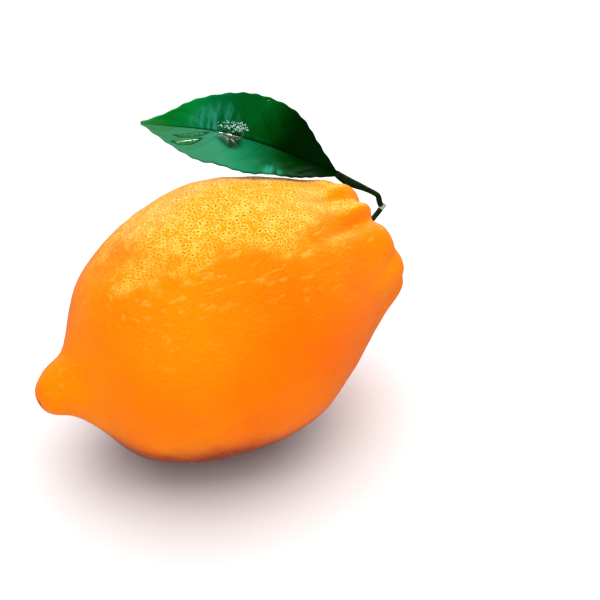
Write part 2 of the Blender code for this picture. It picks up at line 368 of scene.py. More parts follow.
away = np.array((math.sin(CAMERA_AZIMUTH) * math.cos(CAMERA_ELEVATION),
                 -math.cos(CAMERA_AZIMUTH) * math.cos(CAMERA_ELEVATION), math.sin(CAMERA_ELEVATION)))
rightward = unit(np.cross((0.0, 0.0, 1.0), away))
upward = np.cross(away, rightward)
aim = np.array((CENTRE_FORWARD, 0.0, CENTRE_HEIGHT)) + AIM_RIGHT * rightward + AIM_UP * upward

camera = bpy.data.objects.new("camera", bpy.data.cameras.new("camera"))
camera.data.lens = CAMERA_LENS
camera.data.sensor_width = CAMERA_SENSOR
camera.data.clip_start = 0.01
camera.location = aim + CAMERA_DISTANCE * away
camera.rotation_euler = Vector(away).to_track_quat("Z", "Y").to_euler()
bpy.context.scene.collection.objects.link(camera)
bpy.context.scene.camera = camera
print("the camera aims at", [round(value / MM, 1) for value in aim], "mm")

# %% Set up the light
PANELS = (
    ("overhead", (0.02, 0.04, 0.60), 0.80, 0.80, 5.7),
    ("behind", (0.33, 0.42, 0.28), 1.20, 0.50, 3.4),
    ("front", (-0.35, -0.55, 0.45), 0.90, 0.90, 3.0),
)
ROOM_LIGHT = 0.28

for name, place_at, width, height, strength in PANELS:
    light = bpy.data.lights.new(name, "AREA")
    light.shape = "RECTANGLE"
    light.size = width
    light.size_y = height
    light.energy = strength
    panel = bpy.data.objects.new(name, light)
    panel.location = place_at
    panel.rotation_euler = Vector(place_at).to_track_quat("Z", "Y").to_euler()
    bpy.context.scene.collection.objects.link(panel)

world = bpy.data.worlds.new("studio")
world.use_nodes = True
world.node_tree.nodes["Background"].inputs["Color"].default_value = (1.0, 1.0, 1.0, 1.0)
world.node_tree.nodes["Background"].inputs["Strength"].default_value = ROOM_LIGHT
bpy.context.scene.world = world
bpy.context.scene.view_settings.view_transform = "Standard"
print(len(PANELS), "wide panels and a pale room give the light")

# %% Lay the floor
FLOOR_HALF = 3.0
FLOOR_GREY = 0.74
FLOOR_ROUGHNESS = 0.9

floor_mesh = bpy.data.meshes.new("floor")
turns = ((-1, -1), (1, -1), (1, 1), (-1, 1))
floor_mesh.from_pydata([(x * FLOOR_HALF, y * FLOOR_HALF, 0.0) for x, y in turns], [], [(0, 1, 2, 3)])
floor_material = bpy.data.materials.new("pale_floor")
floor_material.use_nodes = True
floor_surface = floor_material.node_tree.nodes["Principled BSDF"]
floor_surface.inputs["Base Color"].default_value = (FLOOR_GREY, FLOOR_GREY, FLOOR_GREY, 1.0)
floor_surface.inputs["Roughness"].default_value = FLOOR_ROUGHNESS
floor_mesh.materials.append(floor_material)
floor = bpy.data.objects.new("floor", floor_mesh)
floor.visible_glossy = False
bpy.context.scene.collection.objects.link(floor)
floor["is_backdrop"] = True
print("the floor is", 2 * FLOOR_HALF, "m wide")

# %% [markdown]
# The rind is one skin over the whole fruit. Its outline is a few radii along the axis: a narrow
# nipple, a full body, and a collar that turns in to the hollow of the stem. Spinning that outline
# gives the form, and a ball of even squares gives the faces, because a spun mesh would crowd its
# faces at both ends. Each square's corner looks up its turn from the nipple in a table of the outline.

# %% The rind's outline
OUTLINE = (
    (-0.0442, 0.0000),
    (-0.0435, 0.0028),
    (-0.0415, 0.0047),
    (-0.0392, 0.0060),
    (-0.0367, 0.0078),
    (-0.0343, 0.0103),
    (-0.0316, 0.0146),
    (-0.0276, 0.0198),
    (-0.0210, 0.0249),
    (-0.0120, 0.0290),
    (0.0000, 0.0314),
    (0.0110, 0.0310),
    (0.0205, 0.0274),
    (0.0300, 0.0224),
    (0.0372, 0.0180),
    (0.0420, 0.0153),
    (0.0439, 0.0107),
    (0.0424, 0.0064),
    (0.0400, 0.0043),
    (0.0396, 0.0000),
)
OUTLINE_SAMPLES = 3000


def outline_by_turn():
    """The outline as a table: turn from 0 at the nipple's tip to pi, place, radius, and outward."""
    line = smooth_curve(OUTLINE, OUTLINE_SAMPLES, start=(0, 1), end=(0, -1))
    line[:, 1] = np.maximum(line[:, 1], 0.0)
    step = np.diff(line, axis=0)
    band = np.linalg.norm(step, axis=1) * (line[1:, 1] + line[:-1, 1])
    share = np.concatenate(([0.0], np.cumsum(band))) / band.sum()
    turn = np.arccos(np.clip(1 - 2 * share, -1, 1))
    outward = unit(np.gradient(line, axis=0))[:, ::-1] * (-1, 1)
    return turn, (line[:, 0], line[:, 1], outward[:, 0], outward[:, 1])


turn_table, outline_tables = outline_by_turn()
print("the outline is", round((outline_tables[0][-1] - outline_tables[0][0]) / MM, 1), "mm long")

# %% [markdown]
# A spun form alone looks turned on a lathe. A real lemon is uneven: shallow furrows run down the
# shoulder from the collar, slow waves pass over the whole rind, and the nipple leans to one side.
# Each furrow is a turn in degrees, a depth and a reach, and a negative depth makes a ridge. These
# lifts are small, so they are added along the outline's own outward direction.

# %% What makes the fruit uneven
FURROWS = (
    (14, 0.0010, 0.0060),
    (0, -0.0009, 0.0050),
    (-14, 0.0014, 0.0080),
    (-27, -0.0005, 0.0060),
    (-39, 0.0017, 0.0110),
    (-80, 0.0008, 0.0050),
    (-112, 0.0014, 0.0090),
    (-165, 0.0007, 0.0050),
    (150, 0.0012, 0.0080),
    (108, 0.0006, 0.0050),
    (60, 0.0013, 0.0085),
)
FURROW_WIDTH = 2.1 * MM
COLLAR_PLACE = 40.0 * MM
HOLLOW_RADIUS = 5.0 * MM
WAVES = ((0.0190, 0.00050), (0.0080, 0.00022), (0.0045, 0.00013))


def furrow_depth(along, radius, angle):
    """How far the collar's furrows are sunk at each point."""
    depth = np.zeros(len(along))
    for degrees, deepest, reach in FURROWS:
        apart = (angle - math.radians(degrees) + math.pi) % (2 * math.pi) - math.pi
        across = np.exp(-(apart * radius / FURROW_WIDTH)**2)
        down = np.exp(-((along - COLLAR_PLACE) / reach)**2)
        depth += deepest * across * down
    return depth * ease(HOLLOW_RADIUS, 2 * HOLLOW_RADIUS, radius)


def wave_height(points):
    """The rind's unevenness at each point."""
    height = np.zeros(len(points))
    for length, tall in WAVES:
        height += [tall * noise.noise(Vector(point) / length) for point in points]
    return height


print(len(FURROWS), "furrows and", len(WAVES), "sets of waves")

# %% The rind's form
COLLAR_SLANT = 0.10
COLLAR_SLANT_SIDE = math.radians(-120)
COLLAR_SLANT_FROM = 30.0 * MM
NIPPLE_RISE = 4.5 * MM
NIPPLE_SIDE = math.radians(45)
NIPPLE_ROOT = -30.0 * MM
NIPPLE_NECK = -40.0 * MM
NIPPLE_SAG = 0.9 * MM
NIPPLE_SAG_LENGTH = 4.0 * MM


def rind_points(directions):
    """Points in the fruit's frame for unit directions, with their place and radius on the outline."""
    at = np.arccos(np.clip(-directions[:, 0], -1, 1))
    along, radius, out_along, out_radius = [np.interp(at, turn_table, table) for table in outline_tables]
    angle = np.arctan2(directions[:, 1], directions[:, 2])
    round_y = np.sin(angle)
    round_z = np.cos(angle)

    smooth = np.stack((along, radius * round_y, radius * round_z), axis=1)
    lift = ease(0.0, 2 * HOLLOW_RADIUS, radius) * wave_height(smooth)
    lift -= furrow_depth(along, radius, angle)
    slant = COLLAR_SLANT * radius * np.cos(angle - COLLAR_SLANT_SIDE)
    slant *= ease(COLLAR_SLANT_FROM, COLLAR_PLACE, along) * ease(HOLLOW_RADIUS, 2 * HOLLOW_RADIUS, radius)
    bend = NIPPLE_RISE * ease(-NIPPLE_ROOT, -NIPPLE_NECK, -along)
    bend -= NIPPLE_SAG * np.exp(-((along - NIPPLE_ROOT) / NIPPLE_SAG_LENGTH)**2)

    x = along + out_along * lift + slant
    y = (radius + out_radius * lift) * round_y + bend * math.sin(NIPPLE_SIDE)
    z = (radius + out_radius * lift) * round_z + bend * math.cos(NIPPLE_SIDE)
    return np.stack((x, y, z), axis=1), along, radius, angle


SWELLINGS = ((-0.0125, 0.0), (0.0105, -0.0090), (0.0105, 0.0090))
SWELLING_WIDTH = 4.0 * MM


def settle(points):
    """The rind set on the table, flat below and swollen out to the table at three places round it."""
    x, y, z = points.T.copy()
    below = z < CENTRE_HEIGHT / 2
    for foot_x, foot_y in SWELLINGS:
        apart = np.hypot(x - foot_x, y - foot_y)
        foot = np.argmin(np.where(below, apart, np.inf))
        z -= z[foot] * below * np.exp(-(apart / SWELLING_WIDTH)**2)
    return np.stack((x, y, np.maximum(z, 0.0)), axis=1)


print(len(SWELLINGS), "faint swellings meet the table")

# %% [markdown]
# The mesh of the skin carries notes for the steps that follow: a flat map of the skin, how deep the
# pits are, how far the nipple's tip is, and where a highlight may be painted. Pits fade out on the
# nipple, in the hollow and where the fruit meets the table. The painted highlight stops short of the
# nipple and of the shoulder's side that lies in shade.

# %% The skin's map and its notes
RIND_GRID = 128
SKIN_SQUARE = 25.8 * MM
NIPPLE_PITS_LOST = 0.65
SMOOTH_NIPPLE = (32 * MM, 42 * MM)
SMOOTH_HOLLOW = (38 * MM, 40 * MM)
SMOOTH_RIM = (-1.6 * HOLLOW_RADIUS, -HOLLOW_RADIUS)
SMOOTH_BELOW = (-0.6 * MM, -0.1 * MM)
# Where no highlight is painted: near the nipple, and on the shoulder's sides that lie in shade.
HIGHLIGHT_FROM = (-27 * MM, -19 * MM)
SHADED_SIDES = ((20, 28, 41, 46), (33, 37, 24, 34))


def map_of_skin(mesh, cube):
    """Stores where each corner of a face lies on a flat map, with one square for each side of the cube."""
    facing = np.zeros(3 * len(mesh.polygons))
    mesh.polygons.foreach_get("normal", facing)
    facing = np.repeat(facing.reshape(-1, 3), 4, axis=0)
    corner = np.zeros(len(mesh.loops), int)
    mesh.loops.foreach_get("vertex_index", corner)
    side = abs(facing).argmax(axis=1)
    row = np.arange(len(corner))
    across = cube[corner, (side + 1) % 3] * SKIN_SQUARE
    up = cube[corner, (side + 2) % 3] * SKIN_SQUARE
    square = side + 3 * (facing[row, side] > 0)
    spots = np.stack((across + 3 * SKIN_SQUARE * square, up, 0 * up), axis=1)
    layer = mesh.attributes.new("skin_map", "FLOAT_VECTOR", "CORNER")
    layer.data.foreach_set("vector", spots.ravel())


def pale_room(along, angle):
    """1 where a highlight may be painted: past the nipple, and off the shoulder's side in shade."""
    unlit = np.zeros(len(along))
    for start, full, first_turn, last_turn in SHADED_SIDES:
        turned = ease(math.radians(first_turn), math.radians(last_turn), -angle)
        unlit = np.maximum(unlit, ease(start * MM, full * MM, along) * turned)
    return (1 - unlit) * ease(*HIGHLIGHT_FROM, along)


def rind_mesh():
    """The fruit's skin in even squares, with the numbers that its relief and finish read."""
    ball = bmesh.new()
    bmesh.ops.create_cube(ball, size=2.0)
    bmesh.ops.subdivide_edges(ball, edges=ball.edges, cuts=RIND_GRID - 1, use_grid_fill=True)
    mesh = bpy.data.meshes.new("rind_start")
    ball.to_mesh(mesh)
    ball.free()
    cube = np.zeros(3 * len(mesh.vertices))
    mesh.vertices.foreach_get("co", cube)
    cube = cube.reshape(-1, 3)
    map_of_skin(mesh, cube)
    own, along, radius, angle = rind_points(unit(np.tan(cube * math.pi / 4)))
    world_points = settle(place(own))
    mesh.vertices.foreach_set("co", world_points.ravel())

    at_nipple = ease(*SMOOTH_NIPPLE, -along)
    in_hollow = ease(*SMOOTH_HOLLOW, along) * ease(*SMOOTH_RIM, -radius)
    on_table = ease(*SMOOTH_BELOW, -world_points[:, 2])
    give_values(mesh, pitted=(1 - NIPPLE_PITS_LOST * at_nipple) * (1 - in_hollow) * (1 - on_table),
                from_tip=np.linalg.norm(own - own[along.argmin()], axis=1), pale_room=pale_room(along, angle))
    return mesh


rind_start = rind_mesh()
print("the rind starts with", len(rind_start.polygons), "squares")

# %% [markdown]
# Lemon rind is full of oil glands, and each one leaves a small pit. They are spread at random but
# never touch, which is what Voronoi cells give: the distance to the nearest cell's seed is small
# in a pit and large on the ridge between pits. A skin that cuts through cells in space would meet
# most of them off their middle, so the cells lie on the flat map of the skin that the mesh stores.
# The same function feeds both the relief in the mesh and the finish, so the two always agree.

# %% The pattern of pits
PIT_SPACING = 1.25 * MM
PIT_REACH = 0.44
PIT_RANDOMNESS = 0.85


def distance_to_gland(nodes, skin, spacing):
    """The distance to the nearest oil gland on the map of the skin, as a share of the spacing."""
    inputs = {"Vector": skin, "Scale": nodes.maths("DIVIDE", 1.0, spacing), "Randomness": PIT_RANDOMNESS}
    return nodes.add("ShaderNodeTexVoronoi", inputs, voronoi_dimensions="2D").outputs["Distance"]


print("a pit every", round(PIT_SPACING / MM, 2), "mm")

# %% [markdown]
# Where the rind faces up, towards the lamps, a highlight is painted in a cap with a wandering edge.
# Noise added to how far the skin faces up gives that edge, and three gentle tilts along the fruit and
# across it pull the cap to where it belongs. A band below the cap is marked for short dashes of painted
# highlight. The recipe stores the marks, because it still sees the smooth skin. The finish would see
# the slopes of the sunk pits instead.

# %% Where the painted highlight cap and its dashes lie
CAP_NOISE_SCALE = 90.0
CAP_WANDER = 0.36
CAP_TILTS = (
    ("X", -18 * MM, -4 * MM, 0.10, 0.0),
    ("X", 4 * MM, 16 * MM, 0.0, 0.05),
    ("Y", 2 * MM, 12 * MM, 0.0, 0.09),
)
CAP_EDGE = (0.98, 1.17)
DASHES_START = (0.62, 0.95)
DASHES_STOP = (1.05, 1.20, 1.0, 0.2)


def mark_cap(nodes, geometry, where, normal):
    """The geometry with the cap of painted highlight stored, and the band of painted highlight dashes."""
    wander = nodes.noise(where, CAP_NOISE_SCALE)
    facing_up = nodes.times_plus(wander, CAP_WANDER, nodes.split(normal)["Z"])
    placed = nodes.split(where)
    for axis, *reach in CAP_TILTS:
        facing_up = nodes.plus(facing_up, nodes.rise(placed[axis], *reach))
    speckled = nodes.times(nodes.rise(facing_up, *CAP_EDGE), nodes.own("pale_room"))
    dashed = nodes.times(nodes.rise(facing_up, *DASHES_START), nodes.rise(facing_up, *DASHES_STOP))
    return remember(nodes, remember(nodes, geometry, "speckled", speckled), "dashed", dashed)


print("the cap has", len(CAP_TILTS), "tilts")

# %% The recipe for the rind's relief
STREAK_STRETCH = (0.35, 1.0, 1.0)
STREAK_LEVEL = 0.85


def rind_recipe():
    """Sinks pits and a scar into the fruit's skin and leaves long low streaks between them."""
    sizes = {"Pit Spacing": PIT_SPACING, "Pit Reach": PIT_REACH, "Pit Depth": 0.10 * MM,
             "Streak Length": 5.0 * MM, "Streak Height": 0.16 * MM,
             "Scar Size": 1.5 * MM, "Scar Depth": 0.45 * MM}
    nodes, given, end = recipe("Rind Relief", sizes)
    where = nodes.add("GeometryNodeInputPosition").outputs[0]
    normal = nodes.add("GeometryNodeInputNormal").outputs["Normal"]
    pitted = nodes.own("pitted")

    inputs = {"Name": "skin_map"}
    skin = nodes.add("GeometryNodeInputNamedAttribute", inputs, data_type="FLOAT_VECTOR").outputs[0]
    gland = distance_to_gland(nodes, skin, given["Pit Spacing"])
    sunk = nodes.times(nodes.fall(gland, 0.0, given["Pit Reach"]), given["Pit Depth"], pitted)

    drawn = nodes.vector("MULTIPLY", where, STREAK_STRETCH)
    streak = nodes.noise(drawn, nodes.maths("DIVIDE", 2.0, given["Streak Length"]), 1.0)
    streak = nodes.times(nodes.minus(streak, STREAK_LEVEL), given["Streak Height"], pitted)

    scar = nodes.fall(nodes.own("from_tip"), 0.0, given["Scar Size"])
    height = nodes.minus(nodes.minus(streak, sunk), nodes.times(scar, given["Scar Depth"]))
    marked = mark_cap(nodes, given["Geometry"], where, normal)
    finish_recipe(nodes, push_out(nodes, marked, height), given["Material"], end)
    return nodes.tree


print("the rind's recipe has", len(rind_recipe().nodes), "nodes")

# %% [markdown]
# The rind's finish is a thin wax over a strongly coloured skin, its orange uneven in random patches.
# Shade is painted into it as a deeper orange low down, on one side and underneath, and a highlight is
# painted where the fruit faces up. There each pit has a middle of painted shade inside a torn ring of
# painted highlight. Under that cap, short dashes of painted highlight run along the fruit. The recipe
# marked where the cap and the dashes lie, so the finish reads its marks, and it repeats the pits as a
# fine bump, sharper than the mesh can hold.

# %% Start a material
def new_material(name, roughness, **constants):
    """A material with its helper, its surface node and the piece's own coordinates."""
    material = bpy.data.materials.new(name)
    material.use_nodes = True
    nodes = Nodes(material.node_tree)
    surface = material.node_tree.nodes["Principled BSDF"]
    surface.inputs["Roughness"].default_value = roughness
    for socket, value in constants.items():
        surface.inputs[socket.replace("_", " ")].default_value = value
    where = nodes.add("ShaderNodeTexCoord").outputs["Object"]
    return material, nodes, surface, where


def paint(nodes, surface, colour, height, strength=1.0):
    """Gives the surface its colour, and its fine relief as a bump of that height."""
    nodes.feed(surface.inputs["Base Color"], colour)
    bump = nodes.add("ShaderNodeBump", {"Strength": strength, "Distance": 1.0, "Height": height})
    nodes.feed(surface.inputs["Normal"], bump.outputs["Normal"])


print("materials can be started")

# %% The rind's orange and its painted shade
RIND_ORANGE = (0.97, 0.190, 0.001)
RIND_YELLOW = (0.98, 0.228, 0.001)
RIND_PAINTED_SHADE = (0.97, 0.125, 0.0003)
UNDERSIDE_PAINTED_SHADE = (0.30, 0.022, 0.0003)
SHADED_SIDE_CENTRE = (0.008, -0.028, 0.040)
ORANGE_PATCHES = (45.0, 3.0, 0.35, 0.68)
LOW_SLANT = -0.35
# Painted shade: a deeper orange low down, on one side and, darkest, underneath.
PAINTED_SHADES = (
    ("low", 6 * MM, (2 * MM, 34 * MM, 1.0, 0.0), RIND_PAINTED_SHADE),
    ("shaded_side", 4 * MM, (6 * MM, 32 * MM, 0.62, 0.0), RIND_PAINTED_SHADE),
    ("under", 3 * MM, (10 * MM, 21 * MM, 1.0, 0.0), UNDERSIDE_PAINTED_SHADE),
)


def rind_orange_and_shade(nodes, where):
    """Orange and yellow patches, with painted shade low down, on one side and underneath."""
    patches = nodes.clouds(where, *ORANGE_PATCHES)
    colour = nodes.blend(patches, RIND_ORANGE, RIND_YELLOW)
    split = nodes.split(where)
    measures = {"low": nodes.times_plus(split["X"], LOW_SLANT, split["Z"]),
                "shaded_side": nodes.vector("DISTANCE", where, SHADED_SIDE_CENTRE), "under": split["Z"]}
    for measure, wander, reach, shade_colour in PAINTED_SHADES:
        share = nodes.rise(nodes.times_plus(patches, wander, measures[measure]), *reach)
        colour = nodes.blend(share, colour, shade_colour)
    return colour


print("the rind grows deeper in", len(PAINTED_SHADES), "places")

# %% The rind's painted highlight cap
# Painted highlight for the cap, its dashes, blotches and pit rings; painted shade for the pits' middles.
PAINTED_HIGHLIGHT_CREAM = (0.95, 0.505, 0.080)
PIT_PAINTED_SHADE = (0.30, 0.150, 0.004)
CAP_PAINTED_HIGHLIGHT = (0.80, 0.275, 0.003)
CAP_HIGHLIGHT_STRENGTH = 0.75
DASH_STRETCH = (0.30, 0.8, 1.3)
DASHES = (700.0, 3.0, 0.56, 0.70)
DASH_STRENGTH = 0.28
BLOTCHES = (420.0, 3.0, 0.50, 0.66)
BLOTCH_STRENGTH = 0.55
RINGS_SHOWN = (0.95, 0.04)
RINGS_FADE = (800.0, 3.0, 0.32, 0.56, 0.30, 1.0)
DOT_REACH = (0.13, 0.25)
TEAR_SCALE = 1500.0
TEAR_SIZE = 0.50
RING_INSIDE = (0.20, 0.32)
RING_OUTSIDE = (0.36, 0.54)


def rind_cap(nodes, where, colour, gland, pitted):
    """Painted highlight as a cap, dashes, blotches and torn pit rings, and painted shade in each pit."""
    speckled = nodes.own("speckled")
    colour = nodes.blend(nodes.times(speckled, CAP_HIGHLIGHT_STRENGTH), colour, CAP_PAINTED_HIGHLIGHT)
    dash = nodes.clouds(nodes.vector("MULTIPLY", where, DASH_STRETCH), *DASHES)
    colour = nodes.blend(nodes.times(dash, nodes.own("dashed"), DASH_STRENGTH), colour, PAINTED_HIGHLIGHT_CREAM)
    blotch = nodes.times(nodes.clouds(where, *BLOTCHES), speckled, BLOTCH_STRENGTH)
    colour = nodes.blend(blotch, colour, PAINTED_HIGHLIGHT_CREAM)

    # A torn ring of painted highlight round each pit.
    torn = nodes.times_plus(nodes.noise(where, TEAR_SCALE), TEAR_SIZE, nodes.minus(gland, TEAR_SIZE / 2))
    ring = nodes.times(nodes.rise(torn, *RING_INSIDE), nodes.fall(torn, *RING_OUTSIDE))
    # A dot of painted shade in the middle of each pit.
    dot = nodes.times(nodes.fall(gland, *DOT_REACH), pitted)
    shown = nodes.times(nodes.times_plus(speckled, *RINGS_SHOWN), nodes.clouds(where, *RINGS_FADE))
    colour = nodes.blend(nodes.times(ring, shown), colour, PAINTED_HIGHLIGHT_CREAM)
    return nodes.blend(nodes.times(dot, shown), colour, PIT_PAINTED_SHADE)


print("the cap's finish is ready")

# %% The rind's finish
SCAR_BROWN = (0.20, 0.070, 0.015)
SCAR_REACH = (0.5 * MM, 1.3 * MM)
PIT_SLOPE = (-0.10, 0.40)
PIT_BUMP = 0.11 * MM
PIT_BUMP_SHARE = (0.4, 0.6)
SKIN_GRAIN = (3000.0, 0.008 * MM, 2.0)
WAX_ROUGHNESS = 0.32
WAX_UNEVENNESS = (260.0, 2.0, 0.3, 0.7, 0.26, 0.36)


def rind_finish():
    """Waxy orange-yellow rind, with painted shade in its pits and painted highlight on their rims."""
    material, nodes, surface, where = new_material("waxy_rind", WAX_ROUGHNESS, Specular_IOR_Level=0.08,
                                                   Specular_Tint=(0.8, 1.0, 0.05, 1.0))
    pitted = nodes.own("pitted")
    skin = nodes.add("ShaderNodeAttribute", attribute_name="skin_map").outputs["Vector"]
    gland = distance_to_gland(nodes, skin, PIT_SPACING)
    colour = rind_cap(nodes, where, rind_orange_and_shade(nodes, where), gland, pitted)
    colour = nodes.blend(nodes.fall(nodes.own("from_tip"), *SCAR_REACH), colour, SCAR_BROWN)

    share = nodes.times_plus(nodes.own("speckled"), *PIT_BUMP_SHARE)
    sunk = nodes.times(nodes.fall(gland, *PIT_SLOPE), pitted, share)
    paint(nodes, surface, colour, nodes.times_plus(sunk, -PIT_BUMP, nodes.grain(where, *SKIN_GRAIN)))
    nodes.feed(surface.inputs["Roughness"], nodes.clouds(where, *WAX_UNEVENNESS))
    return material


rind = run_recipe("rind", rind_start, rind_recipe(), {"Material": rind_finish()})
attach(rind, "root")
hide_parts("fruit")

# %% [markdown]
# The button is what is left of the flower: a small green disc with five soft lobes in the hollow of
# the stem end. It is made of rings that shrink and rise to its crown, with the lobes cut by a wave
# round each ring, and it is dry, so its surface is wrinkled a little by noise.

# %% The button
BUTTON_BASE = 40.0 * MM
BUTTON_RADIUS = 3.1 * MM
BUTTON_LOBES = 5
BUTTON_LOBE_DEPTH = 0.22
BUTTON_THICKNESS = 0.9 * MM
BUTTON_CROWN = 0.9 * MM
BUTTON_WRINKLE = 0.10 * MM
BUTTON_WRINKLE_LENGTH = 0.5 * MM
BUTTON_SIDES = 120
BUTTON_SHAPE = ((0.90, -0.60), (0.97, 0.05), (1.0, 0.40), (0.985, 0.70), (0.93, 0.92), (0.82, 1.0),
                (0.68, 1.02), (0.52, 1.12), (0.38, 1.38), (0.28, 1.68), (0.2, 1.9))


def rings_mesh(name, rings):
    """A closed skin through rings of points, with a flat face over the first and the last."""
    shape = bmesh.new()
    loops = [[shape.verts.new(point) for point in ring] for ring in rings]
    for lower, upper in zip(loops, loops[1:]):
        for i in range(len(lower)):
            j = (i + 1) % len(lower)
            shape.faces.new((lower[i], lower[j], upper[j], upper[i]))
    shape.faces.new(loops[0][::-1])
    shape.faces.new(loops[-1])
    bmesh.ops.recalc_face_normals(shape, faces=shape.faces)
    mesh = bpy.data.meshes.new(name)
    shape.to_mesh(mesh)
    shape.free()
    return mesh


def button_rings():
    """Rings of the lobed button, wrinkled, from below its edge to its crown."""
    turns = np.arange(BUTTON_SIDES) * 2 * math.pi / BUTTON_SIDES
    lobes = 1 - BUTTON_LOBE_DEPTH * (0.5 - 0.5 * np.cos(BUTTON_LOBES * turns))
    rings = []
    for share, height in BUTTON_SHAPE:
        radius = BUTTON_RADIUS * share * lobes**(share**2)
        rise = BUTTON_THICKNESS * min(height, 1.0) + BUTTON_CROWN * max(height - 1.0, 0.0)
        ring = np.stack((np.full(BUTTON_SIDES, BUTTON_BASE + rise), radius * np.sin(turns),
                         radius * np.cos(turns)), axis=1)
        ring[:, 0] += [BUTTON_WRINKLE * noise.noise(Vector(point) / BUTTON_WRINKLE_LENGTH) for point in ring]
        rings.append(place(ring))
    return rings


print("the button has", BUTTON_LOBES, "lobes and", len(BUTTON_SHAPE), "rings")

# %% The button's finish
BUTTON_GREEN = (0.10, 0.17, 0.025)
BUTTON_BROWN = (0.16, 0.10, 0.03)
BUTTON_DRIED = (600.0, 4.0, 0.42, 0.62)
BUTTON_GRAIN = (2400.0, 0.08 * MM)


def dry_button_finish():
    """A matt green skin that has dried to brown in places."""
    material, nodes, surface, where = new_material("dry_button", 0.7)
    colour = nodes.blend(nodes.clouds(where, *BUTTON_DRIED), BUTTON_GREEN, BUTTON_BROWN)
    paint(nodes, surface, colour, nodes.grain(where, *BUTTON_GRAIN))
    return material


button_mesh = rings_mesh("button", button_rings())
button_mesh.materials.append(dry_button_finish())
button = keep_piece("button", button_mesh)
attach(button, "root")
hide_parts("calyx")

# %% [markdown]
# The twig and the leaf's stalk both follow a path. A path is a chain of points that carries the
# stalk's thickness, and one recipe sweeps a round section along it, so both stalks share it. The
# recipe also raises fine ridges along the bark and remembers how far along each point lies, which
# the finish needs to find the pale cut end.

# %% The recipe for a stalk
def stalk_recipe():
    """Sweeps a ridged round section along a path of points that carry their thickness."""
    sizes = {"Sides": 28, "Ridges Round": 5.0, "Ridges Along": 4.0, "Ridge Height": 0.05 * MM,
             "Groove Depth": 0.0, "Groove Width": 0.5, "Seed": 3.0}
    nodes, given, end = recipe("Stalk", sizes)
    curve = nodes.add("GeometryNodeMeshToCurve", {"Mesh": given["Geometry"]}).outputs[0]
    curve = nodes.add("GeometryNodeSetCurveNormal", {"Curve": curve}, mode="Z_UP").outputs[0]
    factor = nodes.add("GeometryNodeSplineParameter").outputs["Factor"]
    curve = remember(nodes, curve, "along", factor)
    circle = {"Resolution": given["Sides"], "Radius": 1.0}
    section = nodes.add("GeometryNodeCurvePrimitiveCircle", circle).outputs[0]
    section = remember(nodes, section, "around", nodes.times(factor, 2 * math.pi))
    swept = nodes.add("GeometryNodeCurveToMesh", {"Curve": curve, "Profile Curve": section, "Fill Caps": True,
                                                  "Scale": nodes.own("thickness")}).outputs[0]

    around, along = nodes.own("around"), nodes.own("along")
    spot = nodes.spot(nodes.times(nodes.maths("COSINE", around), given["Ridges Round"]),
                      nodes.times(nodes.maths("SINE", around), given["Ridges Round"]),
                      nodes.times_plus(along, given["Ridges Along"], given["Seed"]))
    ridge = nodes.times(nodes.minus(nodes.noise(spot, 1.0), 0.5), given["Ridge Height"])
    off_top = nodes.minus(1.0, nodes.maths("SINE", around))
    groove = nodes.times(nodes.fall(off_top, 0.0, given["Groove Width"]), given["Groove Depth"])
    finish_recipe(nodes, push_out(nodes, swept, nodes.minus(ridge, groove)), given["Material"], end)
    return nodes.tree


STALK = stalk_recipe()
print("the stalk's recipe has", len(STALK.nodes), "nodes")

# %% Paths for the stalks
def path_mesh(name, route, radii, count):
    """A chain of points along a smooth route, each with the stalk's thickness there."""
    centres = place(smooth_curve(route, count))
    stations = list(zip(np.linspace(0, 1, len(radii)), radii))
    mesh = bpy.data.meshes.new(name)
    mesh.from_pydata(centres.tolist(), [(i, i + 1) for i in range(count - 1)], [])
    give_values(mesh, thickness=value_along(stations, np.linspace(0, 1, count)))
    return mesh


TWIG_ROUTE = (
    (0.0412, 0.0000, 0.0000),
    (0.0420, 0.0001, 0.0001),
    (0.0448, 0.0009, 0.0009),
    (0.0477, 0.0015, 0.0017),
    (0.0509, 0.0024, 0.0026),
)
TWIG_RADII = (0.00125, 0.00095, 0.00068, 0.00062, 0.00070)
TWIG_POINTS = 60
PETIOLE_ROUTE = (
    (0.0500, 0.0023, 0.0029),
    (0.0501, 0.0027, 0.0039),
    (0.0503, 0.0031, 0.0049),
    (0.0495, 0.0040, 0.0063),
    (0.0472, 0.0050, 0.0089),
    (0.0446, 0.0064, 0.0117),
    (0.0431, 0.0077, 0.0141),
)
PETIOLE_RADII = (0.00070, 0.00069, 0.00072, 0.00088, 0.00108, 0.00111, 0.00085)
PETIOLE_POINTS = 90
print("the twig has", len(TWIG_ROUTE), "places and the leaf's stalk has", len(PETIOLE_ROUTE))

# %% [markdown]
# The twig was cut with the fruit. Its bark is a dull dark green with paler dots, the pores it breathes
# through, and its cut end is pale wood. The leaf's stalk is the same green, but smoother, with a
# groove along its top.

# %% The bark's finish
BARK_SHADE = 0.45
BARK_PATCHES = (700.0, 3.0, 0.35, 0.65)
PORE_SCALE = 1500.0
PORE_REACH = (0.10, 0.24)
PORE_STRENGTH = 0.5
BARK_GRAIN = (2500.0, 0.06 * MM)
BARK_BUMP = 0.8
CUT_WOOD = (0.34, 0.38, 0.26)
CUT_EDGE = 0.01


